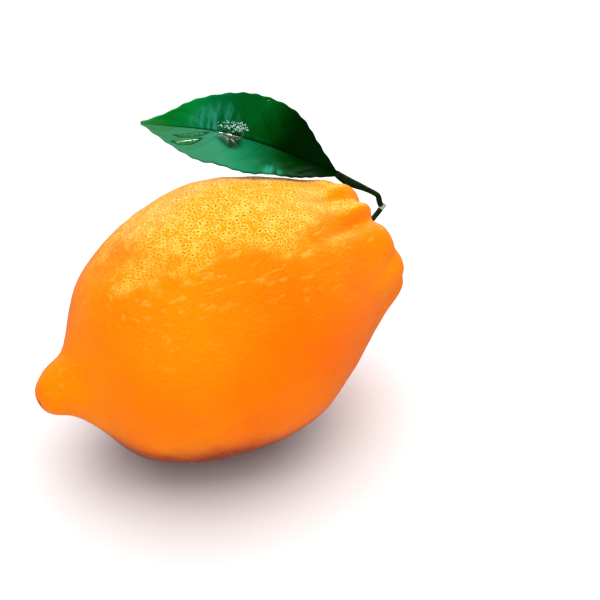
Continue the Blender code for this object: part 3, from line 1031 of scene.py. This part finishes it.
def bark_finish(name, green, pale, cut_from, roughness):
    """Green bark with pale pores, and pale wood from cut_from to the end of the stalk."""
    material, nodes, surface, where = new_material(name, roughness, Specular_IOR_Level=0.05)
    dark = tuple(BARK_SHADE * value for value in green)
    colour = nodes.blend(nodes.clouds(where, *BARK_PATCHES), dark, green)
    cells = nodes.add("ShaderNodeTexVoronoi", {"Vector": where, "Scale": PORE_SCALE}).outputs["Distance"]
    colour = nodes.blend(nodes.times(nodes.fall(cells, *PORE_REACH), PORE_STRENGTH), colour, pale)
    if cut_from < 1.0:
        colour = nodes.blend(nodes.rise(nodes.own("along"), cut_from, cut_from + CUT_EDGE), colour, CUT_WOOD)
    paint(nodes, surface, colour, nodes.grain(where, *BARK_GRAIN), BARK_BUMP)
    return material


green_bark = bark_finish("green_bark", (0.006, 0.022, 0.004), (0.03, 0.05, 0.02), 0.84, 0.6)
stalk_skin = bark_finish("stalk_skin", (0.003, 0.020, 0.002), (0.008, 0.03, 0.005), 1.0, 0.45)
print("the twig and the leaf's stalk have their finishes")

# %% The twig and the leaf's stalk
twig_path = path_mesh("twig_path", TWIG_ROUTE, TWIG_RADII, TWIG_POINTS)
twig = run_recipe("twig_bark", twig_path, STALK,
                  {"Ridge Height": 0.16 * MM, "Ridges Along": 3.0, "Material": green_bark})
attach(twig, "root")
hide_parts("twig")

petiole_path = path_mesh("petiole_path", PETIOLE_ROUTE, PETIOLE_RADII, PETIOLE_POINTS)
petiole = run_recipe("leaf_stalk", petiole_path, STALK,
                     {"Groove Depth": 0.22 * MM, "Ridge Height": 0.05 * MM, "Material": stalk_skin})
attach(petiole, "root")
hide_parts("petiole")

# %% [markdown]
# The leaf is a thin blade, folded like a shallow V along its midrib, with waved and faintly toothed
# edges. It could be one flat sheet bent by a modifier, but its two halves are folded by different
# amounts along their length. So each point is worked out from two shares: how far along the midrib
# it lies, and how far out towards the edge. Both shares are stored on the mesh, for the veins, the
# finish and the water to find their places.

# %% The leaf's numbers
MIDRIB = (
    (0.0431, 0.0077, 0.0140),
    (0.0375, 0.0118, 0.0197),
    (0.0321, 0.0147, 0.0251),
    (0.0267, 0.0175, 0.0297),
    (0.0211, 0.0196, 0.0339),
    (0.0142, 0.0223, 0.0377),
    (0.0070, 0.0247, 0.0417),
)
LEAF_FACES = (-0.275, -0.697, 0.662)
HALF_WIDTHS = (
    (0.00, 0.0006),
    (0.09, 0.0036),
    (0.18, 0.0065),
    (0.34, 0.0103),
    (0.45, 0.0109),
    (0.57, 0.0101),
    (0.68, 0.0083),
    (0.78, 0.0064),
    (0.87, 0.0040),
    (0.94, 0.0019),
    (1.00, 0.0003),
)
NEAR_FOLD = ((0.0, 0.66), (0.18, 0.88), (0.34, 0.93), (0.46, 0.77), (0.6, 0.62), (0.8, 0.08), (1.0, 0.0))
FAR_FOLD = ((0.0, 0.30), (0.35, 0.32), (0.6, 0.30), (0.8, 0.46), (0.9, 0.68), (1.0, 0.75))
BLADE_THICKNESS = 0.55 * MM
EDGE_THICKNESS = 0.52 * MM
MIDRIB_THICKNESS = 0.60 * MM
MIDRIB_SPREAD = 0.09
MIDRIB_THINS = 0.7
LEAF_TEETH = 16
LEAF_TOOTH = 0.22 * MM
TEETH_GROW_BY = 0.1
LEAF_WAVES = 3.2
LEAF_WAVE_HEIGHT = 0.54 * MM
LEAF_WAVE_START = 2.0
LEAF_WAVE_ROOM = 4.0 * MM
LEAF_LENGTH = 49.0 * MM
LEAF_MIDDLE_WIDTH = 9.0 * MM
print("the blade is", round(2 * max(width for _, width in HALF_WIDTHS) / MM, 1), "mm wide, laid flat")

# %% The leaf's two faces
LEAF_STEPS = 260
LEAF_COLUMNS = 71
COLUMN_CROWDING = 0.35


def leaf_shares():
    """Shares from the near edge, -1, to the far edge, 1, closer together at the midrib."""
    even = np.linspace(-1.0, 1.0, LEAF_COLUMNS)
    return even * (COLUMN_CROWDING + (1 - COLUMN_CROWDING) * abs(even))


def leaf_faces(shares):
    """The blade's upper and lower face, as rows of points from its base to its tip."""
    steps = np.linspace(0.0, 1.0, LEAF_STEPS + 1)
    midrib = smooth_curve(MIDRIB, LEAF_STEPS + 1)
    ahead = unit(np.gradient(midrib, axis=0))
    face = np.array(LEAF_FACES)
    face = unit(face - ahead * (ahead @ face)[:, None])
    far_side = np.cross(ahead, face)
    half_width = value_along(HALF_WIDTHS, steps)
    teeth = 0.5 - 0.5 * np.cos(2 * math.pi * LEAF_TEETH * steps)
    half_width -= LEAF_TOOTH * teeth * ease(0, TEETH_GROW_BY, steps)
    near_fold = value_along(NEAR_FOLD, steps)
    far_fold = value_along(FAR_FOLD, steps)
    margin_room = ease(0.0, LEAF_WAVE_ROOM, half_width)

    top = []
    bottom = []
    for share in shares:
        side = np.sign(share)
        fold = (far_fold if share > 0 else near_fold)[:, None]
        out = (abs(share) * half_width)[:, None]
        wave = share**2 * np.sin(2 * math.pi * LEAF_WAVES * steps + LEAF_WAVE_START * side) * margin_room
        lift = out * np.sin(fold) + LEAF_WAVE_HEIGHT * wave[:, None]
        upper = midrib + face * lift + far_side * side * out * np.cos(fold)
        up = unit(face * np.cos(fold * abs(side)) - far_side * side * np.sin(fold))
        rib = MIDRIB_THICKNESS * math.exp(-(share / MIDRIB_SPREAD)**2) * (1 - MIDRIB_THINS * steps)
        blade = BLADE_THICKNESS + (EDGE_THICKNESS - BLADE_THICKNESS) * share**2
        top.append(upper)
        bottom.append(upper - up * (blade + rib)[:, None])
    return np.stack(top, axis=1), np.stack(bottom, axis=1)


print("each face has", LEAF_STEPS, "steps and", LEAF_COLUMNS, "columns")

# %% [markdown]
# The places of the water on the leaf are needed before the leaf is meshed, because under the two
# long drops the leaf's finish paints light, a lighter green where the water gathers it, and round
# them a dark line of painted shade. Each drop is a place across and along the leaf, half its
# length and half its width, its turn and its height.

# %% The places of the drops, and the leaf's mesh
DROPS = (
    ("drop_on_midrib", -0.12, 0.572, 3.3, 2.1, -0.21, 0.9),
    ("drop_long_low", -0.56, 0.780, 3.8, 0.62, -0.58, 0.45),
    ("drop_long_high", -0.26, 0.757, 3.9, 0.52, -0.38, 0.4),
    ("drop_at_edge", 0.90, 0.440, 0.5, 0.4, 0.0, 0.3),
)
LONG_DROPS = [drop[1:6] for drop in DROPS[1:3]]
FAR_OFF = 9.0


def near_long_drop(across, along):
    """How far each point of the leaf's map is from the nearest long drop: 1 on the drop's rim."""
    nearest = np.full(len(across), FAR_OFF)
    for drop_across, drop_along, half_length, half_width, turned in LONG_DROPS:
        ahead = (along - drop_along) * LEAF_LENGTH
        aside = (across - drop_across) * LEAF_MIDDLE_WIDTH
        x = (ahead * math.cos(turned) + aside * math.sin(turned)) / (half_length * MM)
        y = (aside * math.cos(turned) - ahead * math.sin(turned)) / (half_width * MM)
        nearest = np.minimum(nearest, np.hypot(x, y))
    return nearest


def leaf_mesh():
    """The closed blade, with its shares and its side stored on its points."""
    shares = leaf_shares()
    top, bottom = leaf_faces(shares)
    rows, width = top.shape[:2]
    points = np.concatenate((place(top.reshape(-1, 3)), place(bottom.reshape(-1, 3))))
    below = rows * width
    faces = []
    for i in range(rows - 1):
        for j in range(width - 1):
            a, b = i * width + j, i * width + j + 1
            c, d = b + width, a + width
            faces.append((a, b, c, d))
            faces.append((a + below, d + below, c + below, b + below))
    edge = list(range(width))
    edge += [i * width + width - 1 for i in range(1, rows)]
    edge += [(rows - 1) * width + j for j in range(width - 2, -1, -1)]
    edge += [i * width for i in range(rows - 2, 0, -1)]
    for a, b in zip(edge, edge[1:] + edge[:1]):
        faces.append((a, a + below, b + below, b))
    mesh = bpy.data.meshes.new("leaf_start")
    mesh.from_pydata(points.tolist(), [], faces)
    across = np.tile(shares, 2 * rows)
    along = np.tile(np.repeat(np.linspace(0, 1, rows), width), 2)
    give_values(mesh, across=across, along=along, upper=np.repeat((1.0, 0.0), below),
                near_drop=near_long_drop(across, along))
    return mesh


leaf_start = leaf_mesh()
print("the leaf starts with", len(leaf_start.polygons), "faces")

# %% [markdown]
# A citrus leaf has one strong midrib and about nine pairs of side veins. They leave the midrib at a
# slant and bend towards the tip. On the upper face they are sunk in fine lines and the blade swells
# a little between them. On the lower face they stand out. A vein is a repeat along a share, so a
# small function finds the distance to the nearest vein, and the recipe and the finish both use it.

# %% The pattern of veins
VEIN_PAIRS = 9.0
VEIN_SLANT = 0.13
VEIN_BEND = 0.09
VEIN_STAGGER = 0.4
VEINS_BEFORE = 4.0
VEIN_FADES = (0.65, 0.97)


def vein_cycle(nodes, across, along, pairs):
    """A number that runs from 0 to 1 between one side vein and the next, with the vein at 0.5."""
    out = nodes.size_of(across)
    behind = nodes.times_plus(nodes.maths("POWER", out, 2.0), VEIN_BEND, nodes.times(out, VEIN_SLANT))
    start = nodes.times(nodes.minus(along, behind), pairs)
    stagger = nodes.times(nodes.maths("GREATER_THAN", across, 0.0), VEIN_STAGGER)
    return nodes.maths("FRACT", nodes.plus(start, nodes.plus(stagger, VEINS_BEFORE)))


def on_side_vein(nodes, across, along, pairs, width):
    """1 on a side vein and 0 between two, fading out towards the edge."""
    apart = nodes.size_of(nodes.minus(vein_cycle(nodes, across, along, pairs), 0.5))
    line = nodes.fall(apart, 0.0, width)
    return nodes.times(line, nodes.fall(nodes.size_of(across), *VEIN_FADES))


print(int(VEIN_PAIRS), "pairs of side veins")

# %% The recipe for the leaf's relief
MIDRIB_FADES = (0.55, 1.0, 1.0, 0.2)
SWELL_FROM_RIB = (0.05, 0.35)
SWELL_TO_EDGE = (0.6, 1.0)
FLAT_TIP = (0.90, 1.0)
FLAT_BASE = (0.0, 0.05)
LOWER_FACE = 0.25


def leaf_recipe():
    """Sinks the veins in the upper face, raises them on the lower one and swells the blade between."""
    sizes = {"Vein Pairs": VEIN_PAIRS, "Vein Width": 0.09, "Vein Sink": 0.04 * MM, "Vein Rise": 0.13 * MM,
             "Swell": 0.06 * MM, "Midrib Width": 0.035, "Midrib Sink": 0.20 * MM}
    nodes, given, end = recipe("Leaf Relief", sizes, materials=("Upper Material", "Lower Material"))
    across, along, upper = [nodes.own(name) for name in ("across", "along", "upper")]
    vein = on_side_vein(nodes, across, along, given["Vein Pairs"], given["Vein Width"])
    out = nodes.size_of(across)
    midrib = nodes.fall(out, 0.0, given["Midrib Width"])
    midrib = nodes.times(midrib, nodes.rise(along, *MIDRIB_FADES))
    cycle = nodes.times(vein_cycle(nodes, across, along, given["Vein Pairs"]), 2 * math.pi)
    between = nodes.times(nodes.maths("COSINE", cycle), nodes.rise(out, *SWELL_FROM_RIB))
    swell = nodes.times(between, nodes.fall(out, *SWELL_TO_EDGE), given["Swell"])

    sunk = nodes.plus(nodes.times(vein, given["Vein Sink"]), nodes.times(midrib, given["Midrib Sink"]))
    above = nodes.times(nodes.minus(swell, sunk), upper)
    under = nodes.times(nodes.minus(nodes.times(vein, given["Vein Rise"]), swell), nodes.minus(1.0, upper))
    ends = (nodes.fall(along, *FLAT_TIP), nodes.rise(along, *FLAT_BASE))
    moved = push_out(nodes, given["Geometry"], nodes.times(nodes.plus(above, under), *ends))

    inputs = {"Geometry": nodes.add("GeometryNodeRealizeInstances", {"Geometry": moved}).outputs[0],
              "Material": given["Upper Material"]}
    inputs = {"Geometry": nodes.add("GeometryNodeSetMaterial", inputs).outputs[0],
              "Selection": nodes.maths("LESS_THAN", upper, LOWER_FACE), "Material": given["Lower Material"]}
    nodes.feed(end.inputs["Geometry"], nodes.add("GeometryNodeSetMaterial", inputs).outputs[0])
    return nodes.tree


print("the leaf's recipe has", len(leaf_recipe().nodes), "nodes")

# %% [markdown]
# The upper face is deep green, fresher towards the tip. Shade is painted in towards the base, where
# it turns nearly black, and a reflection of the light is painted into the near half, which is paler
# and bluer. So each half looks its greens up along the leaf in a list of its own. Streaks of painted
# sheen stand for the wet skin catching the light between the veins. The lower face is dull and
# paler, with the veins paler still.

# %% The leaf's greens, with painted shade and painted reflection
# Painted shade makes both halves nearly black near the base; the near half's paler, bluer greens are a
# painted reflection.
FAR_GREENS_AND_SHADE = (
    (0.0, (0.0002, 0.010, 0.0001)), (0.28, (0.0002, 0.012, 0.0002)), (0.36, (0.0003, 0.030, 0.0004)),
    (0.45, (0.0008, 0.088, 0.009)), (0.56, (0.0004, 0.092, 0.012)), (0.66, (0.0006, 0.125, 0.030)),
    (0.76, (0.0006, 0.185, 0.038)), (0.88, (0.001, 0.205, 0.018)), (1.0, (0.030, 0.25, 0.06)),
)
NEAR_GREENS_SHADE_AND_REFLECTION = (
    (0.0, (0.0002, 0.010, 0.0001)), (0.20, (0.0003, 0.016, 0.0005)), (0.28, (0.0005, 0.032, 0.002)),
    (0.36, (0.002, 0.078, 0.018)), (0.46, (0.003, 0.140, 0.048)), (0.56, (0.010, 0.180, 0.080)),
    (0.66, (0.032, 0.215, 0.110)), (0.80, (0.038, 0.225, 0.100)), (1.0, (0.045, 0.240, 0.090)),
)
GREEN_WANDER = 0.20
HALVES_MEET = (-0.02, 0.02)
PATCH_FADES = (0.4, 1.0)


def ramp(nodes, value, stops):
    """The colour at value, looked up in a list of places and colours."""
    node = nodes.add("ShaderNodeValToRGB", {"Fac": value})
    marks = node.color_ramp.elements
    marks[0].position, marks[1].position = stops[0][0], stops[-1][0]
    marks[0].color, marks[1].color = (*stops[0][1], 1.0), (*stops[-1][1], 1.0)
    for place_at, colour in stops[1:-1]:
        marks.new(place_at).color = (*colour, 1.0)
    return node.outputs["Color"]


def patch(nodes, across, along, centre, reach, strength):
    """The strength inside a soft round patch of the leaf's map, and 0 away from it."""
    offset = nodes.vector("SUBTRACT", nodes.spot(across, along), (*centre, 0.0))
    away = nodes.vector("LENGTH", nodes.vector("DIVIDE", offset, (*reach, 1.0)))
    return nodes.times(nodes.fall(away, *PATCH_FADES), strength)


print(len(FAR_GREENS_AND_SHADE), "greens for the far half and", len(NEAR_GREENS_SHADE_AND_REFLECTION), "for the near half")

# %% Painted sheen, shade and light on the wet upper face
# Painted sheen: pale streaks where the wet skin catches the light.
SHEEN = (0.030, 0.310, 0.215)
SHEEN_PATCHES = (((0.30, 0.66), (0.60, 0.14), 0.90), ((-0.95, 0.36), (0.30, 0.07), 0.80))
SHEEN_SLANT = -0.03
SHEEN_LANES = 22.0
SHEEN_STREAKS = (1.6, 5.0, 0.36, 0.72)
# Painted shade on the leaf under the drop on the midrib.
DROP_SHADE_GREEN = (0.0005, 0.030, 0.006)
DROP_SHADE_PATCH = ((-0.16, 0.565), (0.36, 0.085), 0.95)
# Painted light inside the long drops, and a dark rim of painted shade round them.
DROP_PAINTED_LIGHT = (0.003, 0.130, 0.006)
DROP_INSIDE = (0.55, 0.95)
RIM_INSIDE = (0.7, 1.0)
RIM_OUTSIDE = (1.05, 1.4)
RIM_SHADE_STRENGTH = 0.8
RIB_DARK = (0.0005, 0.010, 0.001)


def leaf_colour(nodes, across, along, wander):
    """The upper face's greens, with painted sheen streaks, and painted shade and light by the drops."""
    share = nodes.times_plus(wander, GREEN_WANDER, along)
    far = nodes.rise(across, *HALVES_MEET)
    colour = nodes.blend(far, ramp(nodes, share, NEAR_GREENS_SHADE_AND_REFLECTION), ramp(nodes, share, FAR_GREENS_AND_SHADE))
    slanted = nodes.times_plus(nodes.size_of(across), SHEEN_SLANT, along)
    streak = nodes.clouds(nodes.spot(nodes.times(slanted, SHEEN_LANES), across), *SHEEN_STREAKS)
    # Streaks of painted sheen where the wet skin catches the light.
    for wet in SHEEN_PATCHES:
        colour = nodes.blend(nodes.times(patch(nodes, across, along, *wet), streak), colour, SHEEN)
    # Painted shade under the drop on the midrib.
    colour = nodes.blend(patch(nodes, across, along, *DROP_SHADE_PATCH), colour, DROP_SHADE_GREEN)
    # Painted light inside the long drops, with a dark rim of painted shade round them.
    rim = nodes.own("near_drop")
    edge = nodes.times(nodes.rise(rim, *RIM_INSIDE), nodes.fall(rim, *RIM_OUTSIDE))
    colour = nodes.blend(nodes.fall(rim, *DROP_INSIDE), colour, DROP_PAINTED_LIGHT)
    return nodes.blend(nodes.times(edge, RIM_SHADE_STRENGTH), colour, RIB_DARK)


print(len(SHEEN_PATCHES), "patches of sheen")

# %% The leaf's finish
LOWER_DARK = (0.030, 0.110, 0.030)
LOWER_LIGHT = (0.060, 0.190, 0.060)
LOWER_VEIN = (0.14, 0.25, 0.09)
LOWER_WANDER = 0.9
LOWER_REACH = (0.15, 0.95)
WANDER_SCALE = 160.0
VEIN_LINE = 0.05
VEIN_STRENGTH = 0.2
RIB_LINE = (0.008, 0.028)
RIB_STRENGTH = 0.7
LEAF_GRAIN = (1800.0, 0.012 * MM)
LEAF_CELL_SCALE = 900.0
LEAF_CELL_HEIGHT = 0.02 * MM
VEIN_BUMP = 0.03 * MM
LEAF_GLOSS_PATCHES = (420.0, 2.0, 0.3, 0.7)


def under_colour(nodes, along, wander):
    """The lower face's paler greens."""
    share = nodes.times_plus(wander, LOWER_WANDER, along)
    return nodes.blend(nodes.rise(share, *LOWER_REACH), LOWER_DARK, LOWER_LIGHT)


def leaf_finish(name, is_upper, vein_colour, roughness, tint):
    """One face of the leaf with its greens, its veins and its fine grain."""
    material, nodes, surface, where = new_material(name, roughness, Specular_IOR_Level=0.05,
                                                   Specular_Tint=(*tint, 1.0))
    across, along = nodes.own("across"), nodes.own("along")
    wander = nodes.minus(nodes.noise(where, WANDER_SCALE, 3.0), 0.5)
    colour = leaf_colour(nodes, across, along, wander) if is_upper else under_colour(nodes, along, wander)
    vein = on_side_vein(nodes, across, along, VEIN_PAIRS, VEIN_LINE)
    colour = nodes.blend(nodes.times(vein, VEIN_STRENGTH), colour, vein_colour)
    rib = nodes.fall(nodes.size_of(across), *RIB_LINE)
    colour = nodes.blend(nodes.times(rib, RIB_STRENGTH), colour, vein_colour)

    inputs = {"Vector": where, "Scale": LEAF_CELL_SCALE}
    cells = nodes.add("ShaderNodeTexVoronoi", inputs, feature="SMOOTH_F1").outputs["Distance"]
    height = nodes.times_plus(cells, -LEAF_CELL_HEIGHT, nodes.grain(where, *LEAF_GRAIN))
    height = nodes.times_plus(vein, -VEIN_BUMP, height)
    paint(nodes, surface, colour, height)
    uneven = nodes.clouds(where, *LEAF_GLOSS_PATCHES, roughness - 0.07, roughness + 0.10)
    nodes.feed(surface.inputs["Roughness"], uneven)
    return material


leaf_upper = leaf_finish("glossy_leaf", True, RIB_DARK, 0.28, (0.05, 1.0, 0.5))
leaf_lower = leaf_finish("dull_leaf", False, LOWER_VEIN, 0.62, (0.3, 0.6, 0.4))
leaf = run_recipe("leaf", leaf_start, leaf_recipe(),
                  {"Upper Material": leaf_upper, "Lower Material": leaf_lower})
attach(leaf, "root")
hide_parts("leaf_blade")

# %% [markdown]
# The leaf is wet. A drop that lies on a leaf is a low clear dome whose rim follows the blade and
# whose top is rounder than the blade below. Placing it by hand in space would be fiddly, so the
# recipe works on the leaf's own shares: it takes a ball and lays its middle plane on the leaf as if
# the shares were a map. It lifts or sinks all points one way, the way the leaf faces, because the
# blade's own normals meet over the fold and the dome would cross itself there. Under the top of the
# dome it follows a smoothed blade, so that the top stays round. The water that hangs on the midrib is
# greener than the rest, and drawn out into three corners.

# %% Finding places on the leaf
UPPER_FACE = 0.75


def leaf_map(nodes):
    """The leaf's shares as a flat map: across in x and along in y."""
    return nodes.spot(nodes.own("across"), nodes.own("along"))


def upper_face(nodes, leaf_object):
    """Only the upper face of the leaf."""
    blade = nodes.add("GeometryNodeObjectInfo", {"Object": leaf_object}).outputs["Geometry"]
    inputs = {"Geometry": blade, "Selection": nodes.maths("GREATER_THAN", nodes.own("upper"), UPPER_FACE)}
    return nodes.add("GeometryNodeSeparateGeometry", inputs, domain="FACE").outputs[0]


def on_leaf(nodes, blade, value, spot):
    """The value that the leaf has at a spot of its map."""
    sample = nodes.add("GeometryNodeSampleUVSurface", data_type="FLOAT_VECTOR")
    return nodes.fill(sample, blade, value, leaf_map(nodes), spot)


print("places on the leaf can be found")

# %% The recipe for a drop
LEAF_OUTWARD = tuple(unit(place([LEAF_FACES])[0] - place([(0.0, 0.0, 0.0)])[0]).tolist())
DROP_NOISE = (1.3, 1.3, 0.0)
DROP_CORNERS = 3.0
DROP_SHOULDER = 0.6


def drop_spot(nodes, given, where, split):
    """Where each point of a ball lies on the leaf's map: swollen, cornered, stretched and turned."""
    seeded = nodes.vector("ADD", nodes.vector("MULTIPLY", where, DROP_NOISE), nodes.spot(z=given["Seed"]))
    swell = nodes.times_plus(nodes.minus(nodes.noise(seeded, 1.0, 1.0), 0.5),
                             nodes.times(given["Unevenness"], 4.0), 1.0)
    corners = nodes.maths("SINE", nodes.times(nodes.maths("ARCTAN2", split["Y"], split["X"]), DROP_CORNERS))
    swell = nodes.times_plus(corners, given["Corners"], swell)
    x = nodes.times(split["X"], given["Half Length"], swell)
    y = nodes.times(split["Y"], given["Half Width"], swell)
    cosine, sine = nodes.maths("COSINE", given["Turn"]), nodes.maths("SINE", given["Turn"])
    ahead = nodes.minus(nodes.times(x, cosine), nodes.times(y, sine))
    aside = nodes.plus(nodes.times(x, sine), nodes.times(y, cosine))
    return nodes.spot(nodes.plus(given["Across"], nodes.maths("DIVIDE", aside, given["Leaf Half Width"])),
                      nodes.plus(given["Along"], nodes.maths("DIVIDE", ahead, given["Leaf Length"])))


def drop_recipe():
    """Lays a clear dome on the leaf round one place of its map."""
    sizes = {"Across": 0.0, "Along": 0.5, "Half Length": 2.0 * MM, "Half Width": 2.0 * MM, "Turn": 0.0,
             "Outward": LEAF_OUTWARD, "Height": 1.0 * MM, "Sink": 0.22 * MM, "Unevenness": 0.12,
             "Corners": 0.0, "Seed": 1.0, "Rounding": 200, "Leaf Half Width": LEAF_MIDDLE_WIDTH,
             "Leaf Length": LEAF_LENGTH}
    nodes, given, end = recipe("Drop On Leaf", sizes, objects=("Leaf",))
    blade = upper_face(nodes, given["Leaf"])
    ball = nodes.add("GeometryNodeMeshUVSphere", {"Segments": 72, "Rings": 36, "Radius": 1.0}).outputs["Mesh"]
    where = nodes.add("GeometryNodeInputPosition").outputs[0]
    split = nodes.split(where)
    spot = drop_spot(nodes, given, where, split)

    blur = nodes.add("GeometryNodeBlurAttribute", {"Iterations": given["Rounding"]}, data_type="FLOAT_VECTOR")
    true_place = on_leaf(nodes, blade, where, spot)
    soft_place = on_leaf(nodes, blade, nodes.fill(blur, where), spot)
    ground = nodes.add("ShaderNodeMix", data_type="VECTOR")
    ground = nodes.fill(ground, nodes.rise(split["Z"], 0.0, DROP_SHOULDER), true_place, soft_place)
    dome = nodes.times(nodes.maths("MAXIMUM", split["Z"], 0.0), given["Height"])
    root = nodes.times(nodes.maths("MINIMUM", split["Z"], 0.0), given["Sink"])
    height = nodes.minus(nodes.plus(dome, root), nodes.times(given["Sink"], 0.5))
    place_at = nodes.vector("ADD", ground, nodes.vector("SCALE", given["Outward"], scale=height))
    moved = nodes.add("GeometryNodeSetPosition", {"Geometry": ball, "Position": place_at})
    finish_recipe(nodes, moved.outputs[0], given["Material"], end)
    return nodes.tree


DROP = drop_recipe()
print("the drop's recipe has", len(DROP.nodes), "nodes")

# %% The drops
MIDRIB_DROP_CORNERS = 0.26
WATER_ROUGHNESS = 0.02
WATER_BENDS_LIGHT = 1.33
WATER_CLOUDS = (300.0, 1.0, 0.3, 0.7)


def water_finish(name, clearness, pale, green):
    """Water with a breath of green; less clear water shows a pale colour, a painted glint."""
    material, nodes, surface, where = new_material(name, WATER_ROUGHNESS, IOR=WATER_BENDS_LIGHT,
                                                   Transmission_Weight=clearness,
                                                   Specular_Tint=(0.45, 1.0, 0.85, 1.0))
    nodes.feed(surface.inputs["Base Color"], nodes.blend(nodes.clouds(where, *WATER_CLOUDS), pale, green))
    return material


WATER = water_finish("clear_water", 1.0, (0.97, 1.0, 0.98), (0.93, 0.99, 0.95))
DEEP_WATER = water_finish("deep_water", 1.0, (0.30, 0.80, 0.50), (0.20, 0.60, 0.36))
for count, (name, across, along, half_length, half_width, turned, height) in enumerate(DROPS):
    on_midrib = count == 0
    drop = run_recipe(name, bpy.data.meshes.new(name), DROP, {
        "Across": across, "Along": along, "Half Length": half_length * MM, "Half Width": half_width * MM,
        "Turn": turned, "Height": height * MM, "Corners": MIDRIB_DROP_CORNERS if on_midrib else 0.0,
        "Seed": float(count), "Leaf": leaf, "Material": DEEP_WATER if on_midrib else WATER})
    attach(drop, "root")

# %% [markdown]
# Beside the large drop the film of water has broken up into many tiny beads. Nobody would place
# them one by one. Points are scattered on the leaf's upper face inside a small oval of its map,
# never closer than a set spacing, and each point gets a small ball of its own size, half sunk.

# %% The beads
def bead_recipe():
    """Scatters small bright balls on one patch of the leaf's upper face."""
    sizes = {"Across": 0.19, "Along": 0.562, "Reach Across": 0.125, "Reach Along": 0.078,
             "Spacing": 0.32 * MM, "Density": 7.5e6, "Smallest": 0.10 * MM, "Largest": 0.27 * MM, "Seed": 4}
    nodes, given, end = recipe("Beads On Leaf", sizes, objects=("Leaf",))
    blade = upper_face(nodes, given["Leaf"])
    offset = nodes.vector("SUBTRACT", leaf_map(nodes), nodes.spot(given["Across"], given["Along"]))
    reach = nodes.spot(given["Reach Across"], given["Reach Along"], 1.0)
    near = nodes.maths("LESS_THAN", nodes.vector("LENGTH", nodes.vector("DIVIDE", offset, reach)), 1.0)
    inputs = {"Mesh": blade, "Selection": near, "Distance Min": given["Spacing"],
              "Density Max": given["Density"], "Seed": given["Seed"]}
    points = nodes.add("GeometryNodeDistributePointsOnFaces", inputs, distribute_method="POISSON")
    ball = nodes.add("GeometryNodeMeshUVSphere", {"Segments": 18, "Rings": 10, "Radius": 1.0}).outputs["Mesh"]
    size = nodes.add("FunctionNodeRandomValue", data_type="FLOAT")
    size = nodes.fill(size, given["Smallest"], given["Largest"])
    inputs = {"Points": points.outputs["Points"], "Instance": ball, "Scale": size}
    beads = nodes.add("GeometryNodeInstanceOnPoints", inputs).outputs[0]
    finish_recipe(nodes, beads, given["Material"], end)
    return nodes.tree


# The beads get a pale, less clear water: their paleness is a painted glint.
glint_water = water_finish("beads_painted_glint", 0.35, (0.86, 0.97, 1.0), (0.35, 0.75, 0.74))
beads = run_recipe("beads", bpy.data.meshes.new("beads"), bead_recipe(),
                   {"Leaf": leaf, "Material": glint_water})
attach(beads, "root")

# %% [markdown]
# Last, the two boxes, that of the solids and that of the dressed lemon, are worked out and printed
# one after the other.

# %% Print the sizes and finish
dressed_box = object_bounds()
boxes = [[[float(value) for value in corner] for corner in box] for box in (cad_box, dressed_box)]
for title, box in zip(("solids", "dressed"), boxes):
    print(title, [[round(value / MM, 2) for value in corner] for corner in box], "mm")
